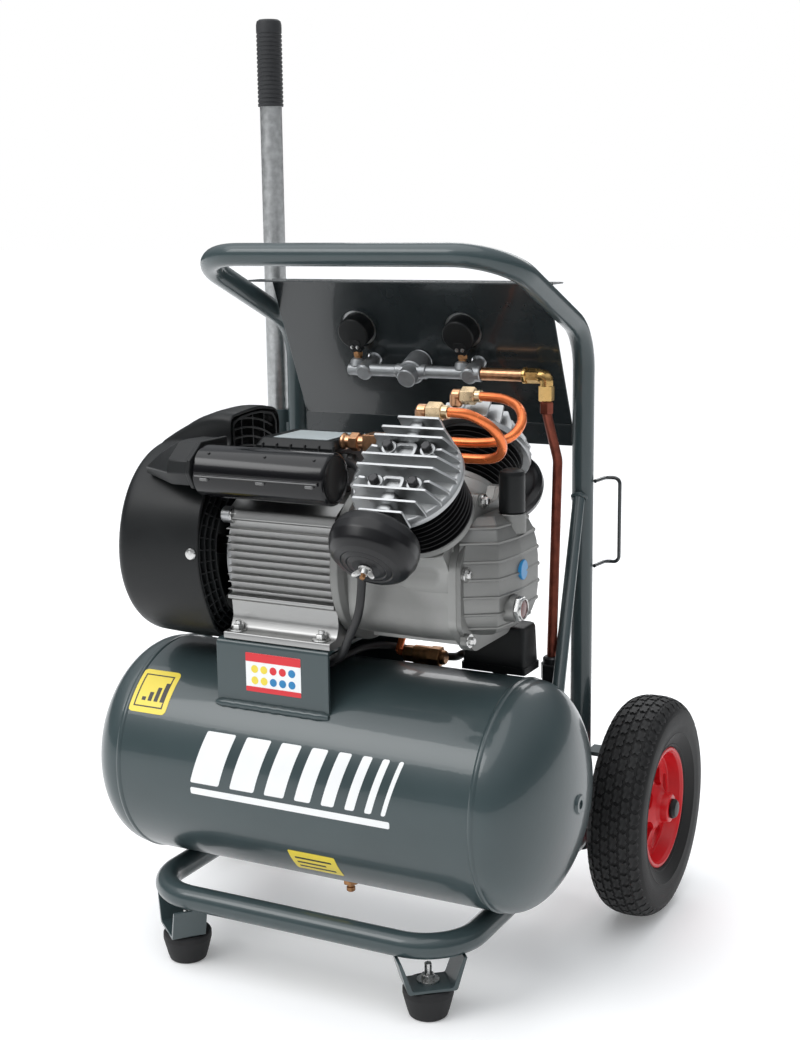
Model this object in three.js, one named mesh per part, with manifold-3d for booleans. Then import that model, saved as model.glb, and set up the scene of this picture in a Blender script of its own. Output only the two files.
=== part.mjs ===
// Wheeled V-twin air compressor on a horizontal tank. Millimetres, +Z up, -Y is the front.
// Pieces are placed about the tank: X along the tank, Y = 0 at the tank axis, Z = 0 on the floor.
// The last lines centre the whole model over its footprint.
import * as THREE from 'three';
import { mergeVertices } from 'three/addons/utils/BufferGeometryUtils.js';
import Module from 'manifold-3d';

const wasm = await Module();
wasm.setup();

// ---------- driving dimensions ----------
const GAP = 0.3; // clearance kept between touching pieces
const COARSE = 10;
const FINE = 20;

const TANK = { radius: 122.5, half: 218.5, dome: 62.4, wall: 3, z: 219.7, bossRadius: 11, bossProud: 4.5 };
const FRAME = { x: 189.7, rearY: 240.7, shoulderZ: 685.3, topY: 17.3, topZ: 778.5, radius: 12.5, bend: 62 };
const SKID = { z: 82.9, frontY: -113.2, radius: 13.5, bend: 60 };
const WHEEL = { x: 267.8, y: 255.6, z: 130, radius: 130, halfWidth: 33, rimRadius: 70 };
const AXLE = { radius: 8, end: 299.3, capEnd: 306 };
const FOOT = { x: 151, y: -92, top: 27, bottom: 20, height: 34 };
const HANDLE = { x: -222.6, y: 247.6, top: 1052, grip: 102, bottom: 470, radius: 13.4, sleeve: 16.5 };
const SLEEVE = { bottom: 440, top: 580 };
const SHAFT_Z = 458; // crank and motor axis above the floor, at Y = 0
const MOTOR = { left: -92, right: 38, bore: 58, footZ: 375.9, footY: 87 };
const SADDLE = { left: -102, right: 36, y: 87.4, top: 375.5, wall: 4 };
const FAN = { rim: -115, left: -222, right: -103, wall: 3, endRadius: 103, vent: 78 };
const BLADES = { count: 8, left: -190, right: -166, hub: 18, reach: 80, bore: 11.6 };
const CAPACITOR = { y: -92, z: 558, radius: 27.5, right: 53 };
const TERMINALS = { left: -88, right: 6, front: -15, back: 62, bottom: 524.6, top: 572, lid: 580 };
const LEAD_RADIUS = 4.5;
const CASE = {
  left: 38.3, flange: 50, joint: 185, half: 70, corner: 40, jointHalf: 76.5, jointCorner: 58, bore: 60,
};
const GLASS = { x: 223.5, y: -25, z: 427, radius: 11, length: 8 };
const BREATHER = { x: 205.5, bottom: 520.3, height: 46, radius: 13.4 };
const BANK = { frontX: 142, rearX: 120, tilt: Math.PI / 4, seat: 85, headBase: 150, bore: 24 };
const CRANK = { throw: 20, rodLength: 104, webLeft: 96, webRight: 108, pinEnd: 112, shaftRadius: 11 };
const BARREL = { fins: 5, finRadius: 55, coreRadius: 38, flangeRadius: 45 };
const HEAD = { radius: 60, height: 31, plate: 9, fins: 9, pitch: 14, bolt: 21, shift: 8 };
const PISTON = { radius: 23.3, length: 40, pin: 5 };
const PIPE_RADIUS = 5;
const PANEL = { y: 164, z: 745.4, length: 184, halfWidth: 176.5, sheet: 2, lean: 65.58 * (Math.PI / 180) };
const [LEAN_SIN, LEAN_COS] = [Math.sin(PANEL.lean), Math.cos(PANEL.lean)];
const RAIL = { down: 104.6, out: -24.5, radius: 7.5, left: -84, right: 88 };
const GAUGE = { down: 63, body: 19.5, face: 26, hole: 21 };
const GAUGES = [-74, 62];
const OUTLETS = [-62, 74];
const SWITCH = { left: 124, right: 197, front: 52, back: 92, bottom: 332.5, top: 384, knobX: 160, knobY: 79 };

// ---------- finishes ----------
function finish(color, roughness, metalness) {
  return new THREE.MeshStandardMaterial({ color, roughness, metalness });
}
const PAINT = finish(0x50605f, 0.35, 0.3);
const DARK_SHEET = finish(0x2c3436, 0.3, 0.3);
const CAST_ALU = finish(0xa7acae, 0.45, 0.9);
const GREY_CAST = finish(0x8b8d8a, 0.55, 0.6);
const EXTRUDED_ALU = finish(0xb4b8bb, 0.4, 0.9);
const BLACK_IRON = finish(0x17181a, 0.6, 0.5);
const BLACK_PLASTIC = finish(0x1b1c1e, 0.45, 0);
const GLOSS_PLASTIC = finish(0x111214, 0.15, 0);
const RUBBER = finish(0x1d1d1d, 0.8, 0);
const RED_PLASTIC = finish(0xc01428, 0.35, 0);
const STEEL = finish(0x9a9d9f, 0.35, 1);
const ZINC = finish(0x8f989c, 0.45, 0.9);
const BRASS = finish(0xc59a4c, 0.3, 1);
const COPPER = finish(0xd2602a, 0.25, 1);
const OLD_COPPER = finish(0x7c3a2c, 0.4, 0.8);
const WINDING = finish(0x8a4a24, 0.5, 0.7);
const OIL_RED = finish(0x5a1a14, 0.1, 0);

// ---------- geometry helpers ----------
// Merges shared corners, drops empty triangles and turns the faces outwards.
function closed(geometry) {
  const bare = geometry.clone();
  bare.deleteAttribute('normal');
  bare.deleteAttribute('uv');
  bare.clearGroups();
  const merged = mergeVertices(bare, 1e-3);
  const p = merged.attributes.position;
  const kept = [];
  let volume = 0;
  const [a, b, c] = [new THREE.Vector3(), new THREE.Vector3(), new THREE.Vector3()];
  for (let i = 0; i < merged.index.count; i += 3) {
    const [u, v, w] = [0, 1, 2].map((k) => merged.index.getX(i + k));
    if (u === v || v === w || w === u) continue;
    kept.push(u, v, w);
    a.fromBufferAttribute(p, u);
    b.fromBufferAttribute(p, v);
    c.fromBufferAttribute(p, w);
    volume += a.dot(b.cross(c));
  }
  if (volume < 0) kept.reverse();
  merged.setIndex(kept);
  return merged;
}

function toSolid(geometry) {
  const shape = closed(geometry);
  const vertProperties = Float32Array.from(shape.attributes.position.array);
  const triVerts = Uint32Array.from(shape.index.array);
  return new wasm.Manifold(new wasm.Mesh({ numProp: 3, vertProperties, triVerts }));
}

function fromSolid(manifold) {
  const mesh = manifold.getMesh();
  const geometry = new THREE.BufferGeometry();
  geometry.setAttribute('position', new THREE.BufferAttribute(Float32Array.from(mesh.vertProperties), 3));
  geometry.setIndex(Array.from(mesh.triVerts));
  return closed(geometry);
}

const join = (first, ...more) => fromSolid(more.reduce((s, g) => s.add(toSolid(g)), toSolid(first)));
const cut = (first, ...tools) => fromSolid(tools.reduce((s, g) => s.subtract(toSolid(g)), toSolid(first)));
const common = (first, second) => fromSolid(toSolid(first).intersect(toSolid(second)));

// A box given by its lowest and highest corners.
function block([x0, y0, z0], [x1, y1, z1]) {
  const box = new THREE.BoxGeometry(x1 - x0, y1 - y0, z1 - z0);
  return box.translate((x0 + x1) / 2, (y0 + y1) / 2, (z0 + z1) / 2);
}

const Y_UP = new THREE.Vector3(0, 1, 0);

// A cylinder (or cone) between two points.
function rod(from, to, radius, sides = COARSE, endRadius = radius) {
  const start = new THREE.Vector3(...from);
  const along = new THREE.Vector3(...to).sub(start);
  const cylinder = new THREE.CylinderGeometry(endRadius, radius, along.length(), sides);
  cylinder.translate(0, along.length() / 2, 0);
  cylinder.applyQuaternion(new THREE.Quaternion().setFromUnitVectors(Y_UP, along.normalize()));
  return cylinder.translate(...from);
}

// A turned shape: profile points are [radius, position along the axis].
function turned(profile, axis = 'z', sides = FINE) {
  const lathe = new THREE.LatheGeometry(profile.map(([r, t]) => new THREE.Vector2(r, t)), sides);
  if (axis === 'x') lathe.rotateZ(-Math.PI / 2);
  if (axis === 'z') lathe.rotateX(Math.PI / 2);
  return lathe;
}

// A ring: a turned rectangle that closes on itself.
function ring(inner, outer, from, to, axis = 'z', sides = FINE) {
  return turned([[inner, from], [outer, from], [outer, to], [inner, to], [inner, from]], axis, sides);
}

// A path through given stations, so a swept tube has its rings exactly there.
class StationPath extends THREE.Curve {
  constructor(stations) {
    super();
    this.stations = stations;
  }

  getPoint(t) {
    const position = t * (this.stations.length - 1);
    const index = Math.min(Math.floor(position), this.stations.length - 2);
    return this.stations[index].clone().lerp(this.stations[index + 1], position - index);
  }

  getTangent(t) {
    const last = this.stations.length - 1;
    const index = Math.round(t * last);
    const before = this.stations[Math.max(index - 1, 0)];
    const here = this.stations[index];
    const after = this.stations[Math.min(index + 1, last)];
    const arriving = here.clone().sub(before).normalize();
    const leaving = after.clone().sub(here).normalize();
    return arriving.add(leaving).normalize();
  }

  getTangentAt(u) {
    return this.getTangent(u);
  }

  getSpacedPoints(divisions) {
    return this.getPoints(divisions);
  }
}

// A polyline whose corners become arcs of the given radius.
function rounded(points, radius, steps = 4) {
  const corners = points.map((p) => new THREE.Vector3(...p));
  const stations = [corners[0]];
  for (let i = 1; i < corners.length - 1; i++) {
    const toward = corners[i - 1].clone().sub(corners[i]);
    const away = corners[i + 1].clone().sub(corners[i]);
    const half = toward.angleTo(away) / 2;
    const reach = Math.min(radius / Math.tan(half), 0.48 * toward.length(), 0.48 * away.length());
    const start = corners[i].clone().addScaledVector(toward.normalize(), reach);
    const end = corners[i].clone().addScaledVector(away.normalize(), reach);
    const arcRadius = reach * Math.tan(half);
    const inward = toward.clone().add(away).normalize();
    const centre = corners[i].clone().addScaledVector(inward, arcRadius / Math.sin(half));
    const [a, b] = [start.clone().sub(centre), end.clone().sub(centre)];
    const sweep = a.angleTo(b);
    for (let k = 0; k <= steps; k++) {
      const t = k / steps;
      const wa = Math.sin((1 - t) * sweep) / Math.sin(sweep);
      const wb = Math.sin(t * sweep) / Math.sin(sweep);
      stations.push(centre.clone().addScaledVector(a, wa).addScaledVector(b, wb));
    }
  }
  stations.push(corners.at(-1));
  return stations;
}

function circle(radius, sides) {
  const points = [];
  for (let i = 0; i < sides; i++) {
    const angle = (2 * Math.PI * i) / sides;
    points.push(new THREE.Vector2(radius * Math.cos(angle), radius * Math.sin(angle)));
  }
  return new THREE.Shape(points);
}

function tube(points, radius, bend, sides = COARSE, steps = 4) {
  const stations = rounded(points, bend, steps);
  const extrudePath = new StationPath(stations);
  return new THREE.ExtrudeGeometry(circle(radius, sides), { steps: stations.length - 1, extrudePath });
}

// A flat outline in Y and Z, extruded along X.
function alongX(outline, x0, x1) {
  const shape = new THREE.Shape(outline.map(([y, z]) => new THREE.Vector2(y, z)));
  const solid = new THREE.ExtrudeGeometry(shape, { depth: x1 - x0, bevelEnabled: false });
  const [acrossAxis, upAxis, alongAxis] = [Y_UP, new THREE.Vector3(0, 0, 1), new THREE.Vector3(1, 0, 0)];
  solid.applyMatrix4(new THREE.Matrix4().makeBasis(acrossAxis, upAxis, alongAxis));
  return solid.translate(x0, 0, 0);
}

// A skin through rings of equal count, closed by flat ends. Each ring is flat at its own X.
function loft(sections) {
  const outlineOf = (ring) => ring.map(([, y, z]) => new THREE.Vector2(y, z));
  const clockwise = THREE.ShapeUtils.isClockWise(outlineOf(sections[0]));
  const rings = clockwise ? sections.map((ring) => [...ring].reverse()) : sections;
  const count = rings[0].length;
  const positions = rings.flat(2);
  const index = [];
  for (let r = 0; r + 1 < rings.length; r++) {
    for (let i = 0; i < count; i++) {
      const [a, b] = [r * count + i, r * count + ((i + 1) % count)];
      index.push(a, b, b + count, a, b + count, a + count);
    }
  }
  for (const [base, flip] of [[0, true], [(rings.length - 1) * count, false]]) {
    const flat = outlineOf(rings[base / count]);
    for (const [a, b, c] of THREE.ShapeUtils.triangulateShape(flat, [])) {
      index.push(...(flip ? [base + a, base + c, base + b] : [base + a, base + b, base + c]));
    }
  }
  const geometry = new THREE.BufferGeometry();
  geometry.setAttribute('position', new THREE.Float32BufferAttribute(positions, 3));
  geometry.setIndex(index);
  return geometry;
}

// ---------- groups ----------
const compressor = new THREE.Group();
const model = new THREE.Group();
compressor.add(model);

// Cylinder banks: local Z runs outward along the bore, local Y stays in the bank's plane.
function bankGroup(x, tilt) {
  const group = new THREE.Group();
  group.position.set(x, 0, SHAFT_Z);
  group.rotation.x = tilt;
  model.add(group);
  return group;
}
const banks = [
  { name: 'front', side: -1, group: bankGroup(BANK.frontX, BANK.tilt) },
  { name: 'rear', side: 1, group: bankGroup(BANK.rearX, -BANK.tilt) },
];

// Control panel: local Y runs down the sheet, local Z points out of its user side.
const panelGroup = new THREE.Group();
panelGroup.position.set(0, PANEL.y, PANEL.z);
panelGroup.rotation.x = -PANEL.lean;
model.add(panelGroup);

function add(name, geometry, material, group = model) {
  const mesh = new THREE.Mesh(closed(geometry), material);
  mesh.name = name;
  group.add(mesh);
}

// ---------- tank ----------
function tankProfile(inset) {
  const [radius, dome] = [TANK.radius - inset, TANK.dome - inset];
  const right = [];
  const steps = 5;
  for (let i = 0; i <= steps; i++) {
    const angle = ((Math.PI / 2) * i) / steps;
    right.push([radius * Math.sin(angle), TANK.half + dome * Math.cos(angle)]);
  }
  const left = right.map(([r, t]) => [r, -t]).reverse();
  return [...right, ...left];
}
const tankBody = (inset) => turned(tankProfile(inset), 'x', 28).translate(0, 0, TANK.z);
const clearTank = () => tankBody(-GAP);
const OUTLET = { x: 208, y: 104 };
const DRAIN = { x: 9, bore: 5 };

function tankShell() {
  const boss = turned([[0, 272], [TANK.bossRadius, 272], [TANK.bossRadius, 285.4], [0, 285.4]], 'x', COARSE);
  const outlet = rod([OUTLET.x, OUTLET.y, 268], [OUTLET.x, OUTLET.y, 315.7], 11);
  const drainBoss = rod([DRAIN.x, 0, 92], [DRAIN.x, 0, 104], 11);
  const outer = join(tankBody(0), boss.translate(0, 0, TANK.z), outlet, drainBoss);
  const drainBore = rod([DRAIN.x, 0, 80], [DRAIN.x, 0, 110], DRAIN.bore);
  return cut(outer, tankBody(TANK.wall), drainBore);
}
add('tank_shell', tankShell(), PAINT);

const drainScrew = join(
  rod([DRAIN.x, 0, 88], [DRAIN.x, 0, 99], DRAIN.bore - 0.7),
  rod([DRAIN.x, 0, 82], [DRAIN.x, 0, 91.5], 9, 6),
  rod([DRAIN.x, 0, 73], [DRAIN.x, 0, 83], 5),
);
add('drain_screw', drainScrew, BRASS);

function saddle() {
  const { left, right, y, top, wall } = SADDLE;
  const outer = block([left, -y, 290], [right, y, top]);
  const inner = block([left - 1, wall - y, 280], [right + 1, y - wall, top - wall]);
  return cut(outer, inner, clearTank());
}
add('saddle', saddle(), PAINT);

// ---------- frame ----------
function upperFrame() {
  const { x, rearY, shoulderZ, topY, topZ, radius, bend } = FRAME;
  const foot = SKID.z - SKID.radius;
  const hoop = tube([
    [-x, rearY, foot], [-x, rearY, shoulderZ], [-x, topY, topZ],
    [x, topY, topZ], [x, rearY, shoulderZ], [x, rearY, foot],
  ], radius, bend, COARSE, 4);
  const pieces = [];
  for (const s of [-1, 1]) {
    const brace = rod([s * 190, 229, 500], [s * 230, 66, 312], 7);
    pieces.push(brace);
    pieces.push(block([Math.min(s * 219, s * 225), 236, 112], [Math.max(s * 219, s * 225), 275, 190]));
    pieces.push(block([Math.min(s * 192, s * 225), 240, 184], [Math.max(s * 192, s * 225), 271, 190]));
  }
  const { bottom: low, top: high } = SLEEVE;
  const sleeve = rod([HANDLE.x, HANDLE.y, low], [HANDLE.x, HANDLE.y, high], HANDLE.sleeve, 16);
  const web = block([-210, 240, 455], [-198, 248, 565]);
  const sleeveBore = rod([HANDLE.x, HANDLE.y, 400], [HANDLE.x, HANDLE.y, 600], HANDLE.radius + 0.7, 16);
  const screwBore = rod([HANDLE.x, HANDLE.y, 560], [HANDLE.x, 280, 560], 4.6);
  const axleBore = rod([-400, WHEEL.y, WHEEL.z], [400, WHEEL.y, WHEEL.z], AXLE.radius + 0.6, 16);
  return cut(join(hoop, ...pieces, sleeve, web), sleeveBore, screwBore, axleBore, clearTank());
}
add('upper_frame', upperFrame(), PAINT);

function skidFrame() {
  const { z, frontY, radius, bend } = SKID;
  const legEnd = FRAME.rearY - FRAME.radius - GAP;
  const loop = tube([
    [-FRAME.x, legEnd, z], [-FRAME.x, frontY, z], [FRAME.x, frontY, z], [FRAME.x, legEnd, z],
  ], radius, bend, COARSE, 4);
  const brackets = [];
  for (const s of [-1, 1]) {
    const bracket = join(
      block([-28, -22, FOOT.height + GAP], [28, 22, FOOT.height + 4]),
      block([-28, -22, FOOT.height + GAP], [28, -18, z - 6]),
      block([-28, 18, FOOT.height + GAP], [28, 22, z - 6]),
    );
    bracket.rotateZ(s * Math.PI / 4);
    brackets.push(bracket.translate(s * FOOT.x, FOOT.y, 0));
  }
  return join(loop, ...brackets);
}
add('skid_frame', skidFrame(), PAINT);

for (const [name, s] of [['foot_left', -1], ['foot_right', 1]]) {
  const { top, bottom, height } = FOOT;
  const cone = turned([[0, 0], [bottom, 0], [top, height - 8], [top, height], [0, height]], 'z', 20);
  add(name, cone.translate(s * FOOT.x, FOOT.y, 0), RUBBER);
}

const hookX = FRAME.x + FRAME.radius + GAP;
const hook = tube([
  [hookX, 241, 515.5], [hookX + 3, 272, 515.5], [hookX + 19, 272, 515.5],
  [hookX + 19, 272, 416], [hookX + 3, 272, 416], [hookX, 241, 416],
], 2, 6, 6, 2).translate(2.1, 0, 0);
add('hose_hook', hook, STEEL);

// ---------- wheels and axle ----------
function wheelTyre() {
  const { radius, halfWidth, rimRadius } = WHEEL;
  const profile = [];
  for (let i = 0; i < 10; i++) {
    const angle = (2 * Math.PI * i) / 10;
    const middle = (radius + rimRadius) / 2;
    profile.push([middle + (radius - middle) * Math.cos(angle), halfWidth * Math.sin(angle)]);
  }
  profile.push(profile[0]);
  return turned(profile, 'x', 24);
}

function wheelRim() {
  const outer = WHEEL.rimRadius - GAP - 0.4;
  const bore = AXLE.radius + 0.6;
  return turned([
    [bore, -31], [16, -31], [18, -8], [outer - 8, -8], [outer - 8, -22], [outer, -22],
    [outer, 22], [outer - 8, 22], [outer - 8, 2], [18, 4], [16, 31], [bore, 31], [bore, -31],
  ], 'x', 24);
}

for (const [side, s] of [['left', -1], ['right', 1]]) {
  const place = (geometry) => geometry.translate(s * WHEEL.x, WHEEL.y, WHEEL.z);
  add(`tyre_${side}`, place(wheelTyre()), RUBBER);
  add(`rim_${side}`, place(wheelRim()), RED_PLASTIC);
}

const axle = turned([
  [0, -AXLE.capEnd], [11.5, -AXLE.capEnd], [11.5, -AXLE.end], [AXLE.radius, -AXLE.end],
  [AXLE.radius, AXLE.end], [11.5, AXLE.end], [11.5, AXLE.capEnd], [0, AXLE.capEnd],
], 'x', 16);
add('axle', axle.translate(0, WHEEL.y, WHEEL.z), STEEL);

// ---------- pull handle ----------
const handleAt = (geometry) => geometry.translate(HANDLE.x, HANDLE.y, 0);
const pullTube = turned([
  [11.2, HANDLE.bottom], [HANDLE.radius, HANDLE.bottom], [HANDLE.radius, HANDLE.top - 6],
  [11.2, HANDLE.top - 6], [11.2, HANDLE.bottom],
], 'z', 16);
add('pull_tube', handleAt(pullTube), STEEL);
const grip = turned([
  [HANDLE.radius + GAP, HANDLE.top - HANDLE.grip], [15.5, HANDLE.top - HANDLE.grip], [15.5, HANDLE.top - 3],
  [12, HANDLE.top], [0, HANDLE.top], [0, HANDLE.top - 5.5], [HANDLE.radius + GAP, HANDLE.top - 5.5],
  [HANDLE.radius + GAP, HANDLE.top - HANDLE.grip],
], 'z', 16);
add('handle_grip', handleAt(grip), RUBBER);
const clampScrew = join(
  rod([HANDLE.x, HANDLE.y + HANDLE.radius + GAP, 560], [HANDLE.x, 285, 560], 4),
  rod([HANDLE.x, 276, 560], [HANDLE.x, 288, 560], 7, COARSE),
  block([HANDLE.x - 18, 280, 556], [HANDLE.x + 18, 287, 564]),
);
add('clamp_screw', clampScrew, BLACK_PLASTIC);

// ---------- motor ----------
function motorHousing() {
  const half = [[50, MOTOR.footZ], [MOTOR.footY, MOTOR.footZ], [MOTOR.footY, 384], [66, 384], [67, 421]];
  for (let i = 0; i < 10; i++) {
    const z = 424 + 9.2 * i;
    half.push([67, z - 1.4], [75, z - 1.2], [75, z + 1.2], [67, z + 1.4]);
  }
  half.push([67, 511], [50, 524]);
  const mirrored = half.map(([y, z]) => [-y, z]).reverse();
  const outline = [...half, ...mirrored, [-50, 392], [50, 392]];
  const bore = rod([MOTOR.left - 1, 0, SHAFT_Z], [MOTOR.right + 1, 0, SHAFT_Z], MOTOR.bore, FINE);
  return cut(alongX(outline, MOTOR.left, MOTOR.right), bore);
}
add('motor_housing', motorHousing(), EXTRUDED_ALU);

const onShaft = (geometry) => geometry.translate(0, 0, SHAFT_Z);
const shieldX = MOTOR.left - GAP;
const endShield = turned([
  [12, shieldX - 14], [22, shieldX - 14], [24, shieldX - 8], [74, shieldX - 8], [74, shieldX],
  [12, shieldX], [12, shieldX - 14],
], 'x');
add('motor_end_shield', onShaft(endShield), CAST_ALU);
const stator = turned([
  [40, -74], [52, -74], [52, -56], [MOTOR.bore - 1.5, -56], [MOTOR.bore - 1.5, 6], [52, 6], [52, 24],
  [40, 24], [40, 6], [36, 6], [36, -56], [40, -56], [40, -74],
], 'x', 16);
add('stator', onShaft(stator), WINDING);
add('rotor', onShaft(ring(11.6, 34.5, -58, 8, 'x', 16)), STEEL);

function crankshaft() {
  const { throw: reach, webLeft, webRight, pinEnd } = CRANK;
  const shaft = rod([-196, 0, 0], [webRight, 0, 0], CRANK.shaftRadius);
  const web = rod([webLeft, 0, 0], [webRight, 0, 0], 30, 16);
  const counterweight = rod([webLeft, 14, -14], [webRight, 14, -14], 26, 16);
  const pin = rod([webRight - 1, -reach * Math.SQRT1_2, reach * Math.SQRT1_2],
    [pinEnd, -reach * Math.SQRT1_2, reach * Math.SQRT1_2], 9);
  return join(shaft, web, counterweight, pin);
}
add('crankshaft', onShaft(crankshaft()), STEEL);

function coolingFan() {
  const { count, left, right, hub, reach, bore } = BLADES;
  const boss = rod([left - 2, 0, 0], [right + 6, 0, 0], hub, 16);
  const plate = rod([right - 2, 0, 0], [right + 1, 0, 0], reach - 6, 20);
  const blades = [];
  for (let i = 0; i < count; i++) {
    blades.push(block([left, 12, -1.5], [right, reach, 1.5]).rotateX((2 * Math.PI * i) / count));
  }
  return cut(join(boss, plate, ...blades), rod([left - 10, 0, 0], [right + 16, 0, 0], bore));
}
add('cooling_fan', onShaft(coolingFan()), BLACK_PLASTIC);

// Fan cover outline at its open rim, as [Y, Z] about the shaft; the closed end is a plain round.
const COVER_RIM = [
  [0, -103], [-33, -98], [-64, -83], [-78, -62], [-90, -36], [-97.5, -7], [-97.5, 25], [-90, 55], [-75.5, 76],
  [-52, 97], [-28.7, 118], [-25, 146], [-7, 151], [18, 153], [38, 153], [66, 148], [74, 136], [76, 112],
  [88, 80], [97, 45], [99, 10], [95, -25], [82, -60], [60, -84], [33, -98],
];

function coverRing(x, size, endRadius, blend) {
  return COVER_RIM.map(([y, z]) => {
    const length = Math.hypot(y, z);
    const target = length + (Math.min(endRadius * (z > 60 ? 1.18 : 1), length) - length) * blend;
    return [x, (y / length) * (target + size), (z / length) * (target + size)];
  });
}

function coverBody(size) {
  const { rim, left, right, endRadius } = FAN;
  const stations = [
    [left - size, size - 12, 1], [left - size + 6, size - 3, 1], [left + 18, size, 0.9], [rim, size, 0],
    [right, size, 0],
  ];
  return loft(stations.map(([x, inset, blend]) => coverRing(x, inset, endRadius, blend)));
}

function fanCover() {
  const { left, rim, right, wall, endRadius, vent } = FAN;
  const canZ = CAPACITOR.z - SHAFT_Z;
  const socket = rod([-170, CAPACITOR.y, canZ], [right, CAPACITOR.y, canZ], 31, 20);
  const hollow = coverBody(-wall);
  const front = rod([right - 17, 0, 0], [right + 5, 0, 0], vent + 1, FINE);
  const mouth = loft([
    coverRing(right - 16, -wall - 9, endRadius, 0), coverRing(right + 3, -wall - 3, endRadius, 0),
  ]);
  const slots = [];
  for (let i = 0; i < 9; i++) {
    const z = -64 + 16 * i;
    const reach = Math.sqrt(vent * vent - z * z);
    slots.push(block([left - 12, -reach, z - 3], [left + 12, reach, z + 3]));
  }
  const inside = common(hollow, block([left - 20, -200, -200], [rim, 200, 300]));
  return cut(join(coverBody(0), socket), inside, front, mouth, ...slots);
}
add('fan_cover', onShaft(fanCover()), BLACK_PLASTIC);

function capacitorHousing() {
  const { y, z, radius, right } = CAPACITOR;
  const can = rod([FAN.right + GAP, y, z], [right, y, z], radius, 20);
  const shelf = block([-88, -80, 546], [6, -15.4, 552]);
  return join(can, shelf);
}
add('capacitor_housing', capacitorHousing(), GLOSS_PLASTIC);

function terminalBox() {
  const { left, right, front, back, bottom, top, lid } = TERMINALS;
  const base = block([left, front, bottom], [right, back, top]);
  return join(base, block([left - 4, front - 2, top], [right + 4, back + 3, lid]));
}
add('terminal_box', terminalBox(), BLACK_PLASTIC);

const motorLead = tube([
  [10.4, 0, 562], [40, -22, 558], [66, -62, 535], [80, -92, 492], [80, -92, 452], [74, -90, 419],
  [56, -80, 388], [47, -70, 372], [46, -50, 356], [46, -20, 351], [58, 8, 351], [88, 24, 351],
  [108, 44, 349], [112, 72, 345], [122.6, 72, 345],
], LEAD_RADIUS, 12, 8, 1);
add('motor_lead', motorLead, RUBBER);

// ---------- crankcase ----------
function tilted(geometry, bank) {
  return geometry.rotateX(bank.side < 0 ? BANK.tilt : -BANK.tilt).translate(bank.group.position.x, 0, 0);
}

// A square with rounded corners, as [Y, Z] about the shaft.
function roundedSquare(half, corner) {
  const points = [];
  const steps = 4;
  for (const [sy, sz, turn] of [[1, 1, 0], [-1, 1, 1], [-1, -1, 2], [1, -1, 3]]) {
    for (let i = 0; i <= steps; i++) {
      const angle = (turn + i / steps) * (Math.PI / 2);
      const [dy, dz] = [corner * Math.cos(angle), corner * Math.sin(angle)];
      points.push([sy * (half - corner) + dy, sz * (half - corner) + dz]);
    }
  }
  return points;
}

function crankcase() {
  const { left, flange, joint, half, corner, jointHalf, jointCorner, bore } = CASE;
  const motorFlange = rod([left, 0, 0], [flange, 0, 0], 86, FINE);
  const body = alongX(roundedSquare(half, corner), flange - 1, joint - 8);
  const jointFlange = alongX(roundedSquare(jointHalf, jointCorner), joint - 9, joint);
  const cylinder = (radius, top) => rod([0, 0, 20], [0, 0, top], radius, FINE);
  const column = (radius, top) => banks.map((bank) => tilted(cylinder(radius, top), bank));
  const necks = column(42, BANK.seat);
  const bores = column(BANK.bore + 6, BANK.seat + 1);
  const cavity = rod([62, 0, 0], [joint + 1, 0, 0], bore, FINE);
  const shaftHole = rod([0, 0, 0], [80, 0, 0], 14);
  return cut(join(motorFlange, body, jointFlange, ...necks), cavity, shaftHole, ...bores);
}
add('crankcase', onShaft(crankcase()), GREY_CAST);

// The cover seen from above, as [X, Y], drawn in by the given inset away from the joint.
function coverPlan(inset) {
  const base = CASE.joint + GAP;
  return [
    [base, inset - 73], [211 - inset, inset - 50], [226 - inset, -2], [224 - inset, 30],
    [209 - inset, 54 - inset], [base, 73 - inset],
  ];
}

function crankcaseCover() {
  const base = CASE.joint + GAP;
  const levels = [[-60, -52, 20], [-53, -41, 8], [-42, 42, 0], [41, 54, 8], [53, 61, 20]];
  const slabs = levels.map(([low, high, inset]) => {
    const shape = new THREE.Shape(coverPlan(inset).map(([x, y]) => new THREE.Vector2(x, y)));
    const slab = new THREE.ExtrudeGeometry(shape, { depth: high - low, bevelEnabled: false });
    return slab.translate(0, 0, low);
  });
  const flange = alongX(roundedSquare(CASE.jointHalf, CASE.jointCorner), base, base + 5);
  const boss = rod([205, 2, -8], [231, 2, -8], 23, 16);
  const seatZ = GLASS.z - SHAFT_Z;
  const glassSeat = rod([200, GLASS.y, seatZ], [GLASS.x - GAP, GLASS.y, seatZ], 14, 16);
  const neckTop = BREATHER.bottom - GAP - SHAFT_Z;
  const neck = rod([BREATHER.x, 0, 40], [BREATHER.x, 0, neckTop], 14, 16);
  const cavity = rod([base - 1, 0, 0], [base + 20, 0, 0], 50, 16);
  return cut(join(flange, ...slabs, boss, glassSeat, neck), cavity);
}
add('crankcase_cover', onShaft(crankcaseCover()), GREY_CAST);

const glass = rod([GLASS.x, GLASS.y, GLASS.z], [GLASS.x + GLASS.length, GLASS.y, GLASS.z], GLASS.radius, 16);
add('sight_glass', glass, OIL_RED);
function fillerCap() {
  const { x, bottom, height, radius } = BREATHER;
  const top = bottom + height;
  const profile = [
    [0, bottom], [12, bottom], [radius, bottom + 2], [radius, top - 4], [12, top - 1], [0, top],
  ];
  return turned(profile, 'z', 16).translate(x, 0, 0);
}
add('oil_filler_cap', fillerCap(), BLACK_PLASTIC);

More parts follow.
